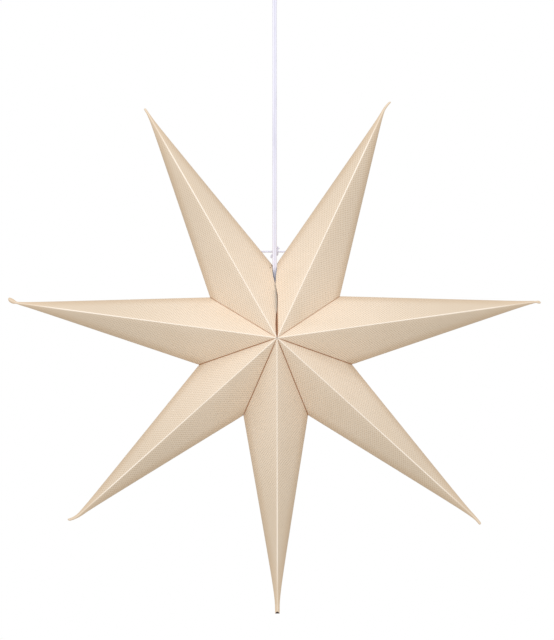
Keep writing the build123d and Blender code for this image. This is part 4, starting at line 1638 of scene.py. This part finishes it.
    def threaded(self, node: str, outline: Sequence[Pair], depth: float, lean: float, ends: Pair) -> None:
        """Turn a closed outline round the Z axis into a shell with a thread, and keep it.

        Args:
            node: The node that the shell stands for.
            outline: Corners as distance from the axis and height.
            depth: The thread's depth.
            lean: 0.5 for a thread that stands out of the wall, -0.5 for one pressed into it.
            ends: The heights between which the thread runs.
        """
        pitch = THREAD_PITCH / THREAD_STEPS
        stops = []
        for start, end in zip(outline, [*outline[1:], outline[0]]):
            count = max(1, round(hypot(end[0] - start[0], end[1] - start[1]) / pitch))
            shares = [step / count for step in range(count)]
            stops += [tuple(a + (b - a) * share for a, b in zip(start, end)) for share in shares]
        mesh = bmesh.new()
        rings = []
        for index in range(RING_STEPS):
            angle = 2 * pi * index / RING_STEPS
            rings.append([mesh.verts.new((r * cos(angle), r * sin(angle), z)) for r, z in stops])
        for ring, following in zip(rings, rings[1:] + rings[:1]):
            for index in range(len(stops)):
                far = (index + 1) % len(stops)
                mesh.faces.new((ring[index], following[index], following[far], ring[far]))
        piece = piece_of(mesh, node + "_finished")
        sizes = {"Pitch": THREAD_PITCH, "Depth": depth, "Lean": lean, "Low": ends[0], "High": ends[1]}
        self.run(self.rounded_thread(), piece, node, **sizes)


@dataclass
class CeilingFitting(SubAssembly):
    """The plate, the hook and its nut."""

    body: str = "ceiling_fitting"

    def build(self) -> None:
        """Make the fitting's pieces."""
        self.copies("ceiling_plate", "ceiling_hook", "hook_nut")


@dataclass
class HangingRing(SubAssembly):
    """The welded ring on the hook."""

    body: str = "hanging_ring"

    def build(self) -> None:
        """Make the ring."""
        self.copies("hook_ring")


@dataclass
class CordClamp(SubAssembly):
    """The clamp that grips the cord, and the terminal block beside it."""

    body: str = "cord"

    def build(self) -> list[str]:
        """Make the pieces on the cord's upper end.

        Returns:
            The names of the pieces that are on the cord itself.
        """
        grips = self.copies("clamp_back", "clamp_front", "cord_cores")
        self.copies("terminal_block", "block_barrels")
        grips.append(self.screws("clamp_screws", Way.FRONT, radians(25)))
        self.screws("block_screws", Way.FRONT, radians(-15))
        return grips


@dataclass
class Canopy(SubAssembly):
    """The bell cup and its knurled thumb screw."""

    body: str = "canopy"
    head_radius: float = 3.2 * MM
    head_length: float = 4 * MM
    ridge_count: int = 24
    ridge_width: float = 0.55 * MM
    ridge_share: float = 0.8

    def build(self) -> None:
        """Make the cup and the screw."""
        self.copies("canopy_cup")
        screw = self.copy("canopy_screw")
        low, high = self.solids(screw)[0]
        middle = (low + high) / 2
        middle.y = high.y - self.head_length / 2
        self.run(
            self.rib_ring(), screw, "canopy_screw", Count=self.ridge_count, Radius=self.head_radius,
            Length=self.ridge_share * self.head_length, Thickness=self.ridge_width, Middle=middle,
            Turn=(radians(90), 0, 0),
        )


@dataclass
class Lampholder(SubAssembly):
    """The lampholder inside the star, on its wire hanger."""

    body: str = "star"
    cap_radius: float = 14 * MM
    rib_count: int = 30
    rib_width: float = 1.0 * MM
    rib_sunk_share: float = 0.2
    rib_low: float = -446 * MM
    rib_high: float = -436 * MM
    sleeve_radius: float = 7.15 * MM
    sleeve_wall: float = 0.45 * MM
    sleeve_flange: float = 9.6 * MM
    thread_depth: float = 0.5 * MM

    def build(self) -> None:
        """Make the holder's pieces."""
        self.copies("wire_hanger", "holder_body", "holder_insert", "holder_leads", "contact_tongue")
        self.screws("terminal_screws", Way.OUTWARDS)
        self.screws("grip_screw", Way.BACK)
        self.run(
            self.rib_ring(), self.copy("holder_cap"), "holder_cap", Count=self.rib_count,
            Radius=self.cap_radius - self.rib_sunk_share * self.rib_width,
            Length=self.rib_high - self.rib_low, Thickness=self.rib_width,
            Middle=(0, 0, (self.rib_low + self.rib_high) / 2), Turn=(0, 0, 0),
        )
        self.sleeve()

    def sleeve(self) -> None:
        """The threaded brass sleeve with its flange."""
        bottom, top = (corner[2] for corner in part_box("screw_socket"))
        wall, inner, flange = self.sleeve_wall, self.sleeve_radius, self.sleeve_flange
        outline = (
            (inner, bottom), (inner + wall, bottom), (inner + wall, top - wall),
            (flange, top - wall), (flange, top), (inner, top),
        )
        self.threaded("screw_socket", outline, self.thread_depth, 0.5, (bottom + 2 * wall, top - 3 * wall))


@dataclass
class Bulb(SubAssembly):
    """The small globe bulb with its screw base."""

    body: str = "bulb"
    base_radius: float = 6.8 * MM
    base_wall: float = 0.35 * MM
    base_round: float = 0.7 * MM
    top_radius: float = 5.45 * MM
    thread_depth: float = 0.65 * MM

    def build(self) -> None:
        """Make the bulb's pieces."""
        self.copies("bulb_glass", "bulb_stem", "bulb_filaments", "filament_wires")
        self.copies("bulb_insulator", "bulb_contact")
        self.base()

    def base(self) -> None:
        """The threaded metal base with its rounded shoulder."""
        bottom, top = (corner[2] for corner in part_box("bulb_base"))
        wall, bend, outer = self.base_wall, self.base_round, self.base_radius
        inner = outer - wall
        turns = [pi / 8 * step for step in range(5)]
        shoulder = [(outer - bend + bend * cos(turn), top - bend + bend * sin(turn)) for turn in turns]
        outline = (
            (inner, bottom), (outer, bottom), *shoulder, (self.top_radius, top),
            (self.top_radius, top - wall), (inner - wall, top - wall), (inner, top - 2 * wall),
        )
        self.threaded("bulb_base", outline, self.thread_depth, -0.5, (bottom + bend, top - 2 * bend))


@dataclass
class Studio:
    """The camera where the photograph was taken from, a pale floor and soft light."""

    distance: float = 2.6
    azimuth: float = radians(-1.28)
    elevation: float = radians(-3.85)
    metres_per_pixel: float = 1.134 * MM
    frame_width: int = 554
    frame_height: int = 640
    star_pixel: Pair = (275.5, 342.5)
    sensor_width: float = 36
    floor_height: float = -2.4
    floor_half: float = 4.5
    ambient: float = 0.76
    ambient_colour: Colour = (1.0, 0.99, 0.965, 1.0)
    lamp_colour: Colour = tone(245, 249, 255)
    key_place: tuple[float, float, float] = (-0.3, -1.7, 0.712)
    key_size: float = 1.8
    key_power: float = 24.0
    front_distance: float = 2.8
    front_size: float = 0.4
    front_power: float = 9.0

    def __post_init__(self) -> None:
        """Work out the direction from the star to the camera."""
        flat = cos(self.elevation)
        self.back = Vector((sin(self.azimuth) * flat, -cos(self.azimuth) * flat, sin(self.elevation)))

    def aimed(self, name: str, data: bpy.types.ID, place: Vector) -> bpy.types.Object:
        """A camera or lamp that faces the star.

        Args:
            name: The object's name.
            data: The camera or the light.
            place: Where it stands.

        Returns:
            The linked object.
        """
        made = linked(name, data)
        made.location = place
        made.rotation_mode = "QUATERNION"
        made.rotation_quaternion = (STAR_CENTRE - place).to_track_quat("-Z", "Y")
        return made

    def camera(self) -> None:
        """Place the camera so that the star's centre falls where the photograph has it."""
        data = bpy.data.cameras.new("photo_camera")
        data.sensor_width = self.sensor_width
        focal_pixels = self.distance / self.metres_per_pixel
        data.lens = data.sensor_width * focal_pixels / self.frame_height
        data.shift_x = (self.frame_width / 2 - self.star_pixel[0]) / self.frame_height
        data.shift_y = (self.star_pixel[1] - self.frame_height / 2) / self.frame_height
        place = STAR_CENTRE + self.back * self.distance
        bpy.context.scene.camera = self.aimed("photo_camera", data, place)

    def world(self) -> None:
        """White to the eye and in reflections, and an even soft light on the object."""
        world = bpy.data.worlds.new("studio")
        bpy.context.scene.world = world
        world.use_nodes = True
        graph = Graph(world.node_tree)
        graph.tree.nodes.clear()
        rays = graph.add("ShaderNodeLightPath").outputs
        direct = Field(graph, rays["Is Camera Ray"])
        for name in ("Is Glossy Ray", "Is Transmission Ray"):
            direct = direct.maths("MAXIMUM", Field(graph, rays[name]))
        lit = graph.first("ShaderNodeBackground", Color=self.ambient_colour, Strength=self.ambient)
        white = graph.first("ShaderNodeBackground", Color=(1, 1, 1, 1), Strength=1.0)
        blend = graph.add("ShaderNodeMixShader", inputs={0: direct, 1: lit, 2: white})
        graph.add("ShaderNodeOutputWorld", inputs={"Surface": blend.outputs[0]})

    def lamp(self, name: str, place: Vector, size: float, power: float) -> None:
        """A square soft lamp that faces the star.

        Args:
            name: The lamp's name.
            place: Where it stands.
            size: The length of its side.
            power: Its power in watts.
        """
        data = bpy.data.lights.new(name, "AREA")
        data.shape = "SQUARE"
        data.size = size
        data.energy = power
        data.color = self.lamp_colour[:3]
        self.aimed(name, data, place)

    def floor(self) -> None:
        """A plain pale floor well below the star."""
        half = self.floor_half
        corners = [(x * half, y * half, self.floor_height) for x, y in ((-1, -1), (1, -1), (1, 1), (-1, 1))]
        data = bpy.data.meshes.new("floor")
        data.from_pydata(corners, [], [(0, 1, 2, 3)])
        data.materials.append(Moulded("pale_floor", tone(238, 237, 234), 0.8, 0.02 * MM, 40).material())
        linked("floor", data)

    def build(self) -> None:
        """Set up the camera, the world, the floor and the lamps."""
        self.camera()
        self.world()
        self.floor()
        self.lamp("key_above", Vector(self.key_place), self.key_size, self.key_power)
        front = STAR_CENTRE + self.back * self.front_distance
        self.lamp("front_soft", front, self.front_size, self.front_power)
        bpy.context.scene.view_settings.view_transform = "Standard"


def main() -> None:
    """Build the lamp round its frame and light it."""
    logging.basicConfig(level=logging.INFO, format="%(name)s %(message)s")
    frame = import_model()
    Studio().build()
    suspension = Suspension()
    suspension.cord(CordClamp(frame).build())
    suspension.string()
    PaperStar().build()
    for assembly in (CeilingFitting, HangingRing, Canopy, Lampholder, Bulb):
        assembly(frame).build()


if __name__ == "__main__":
    main()
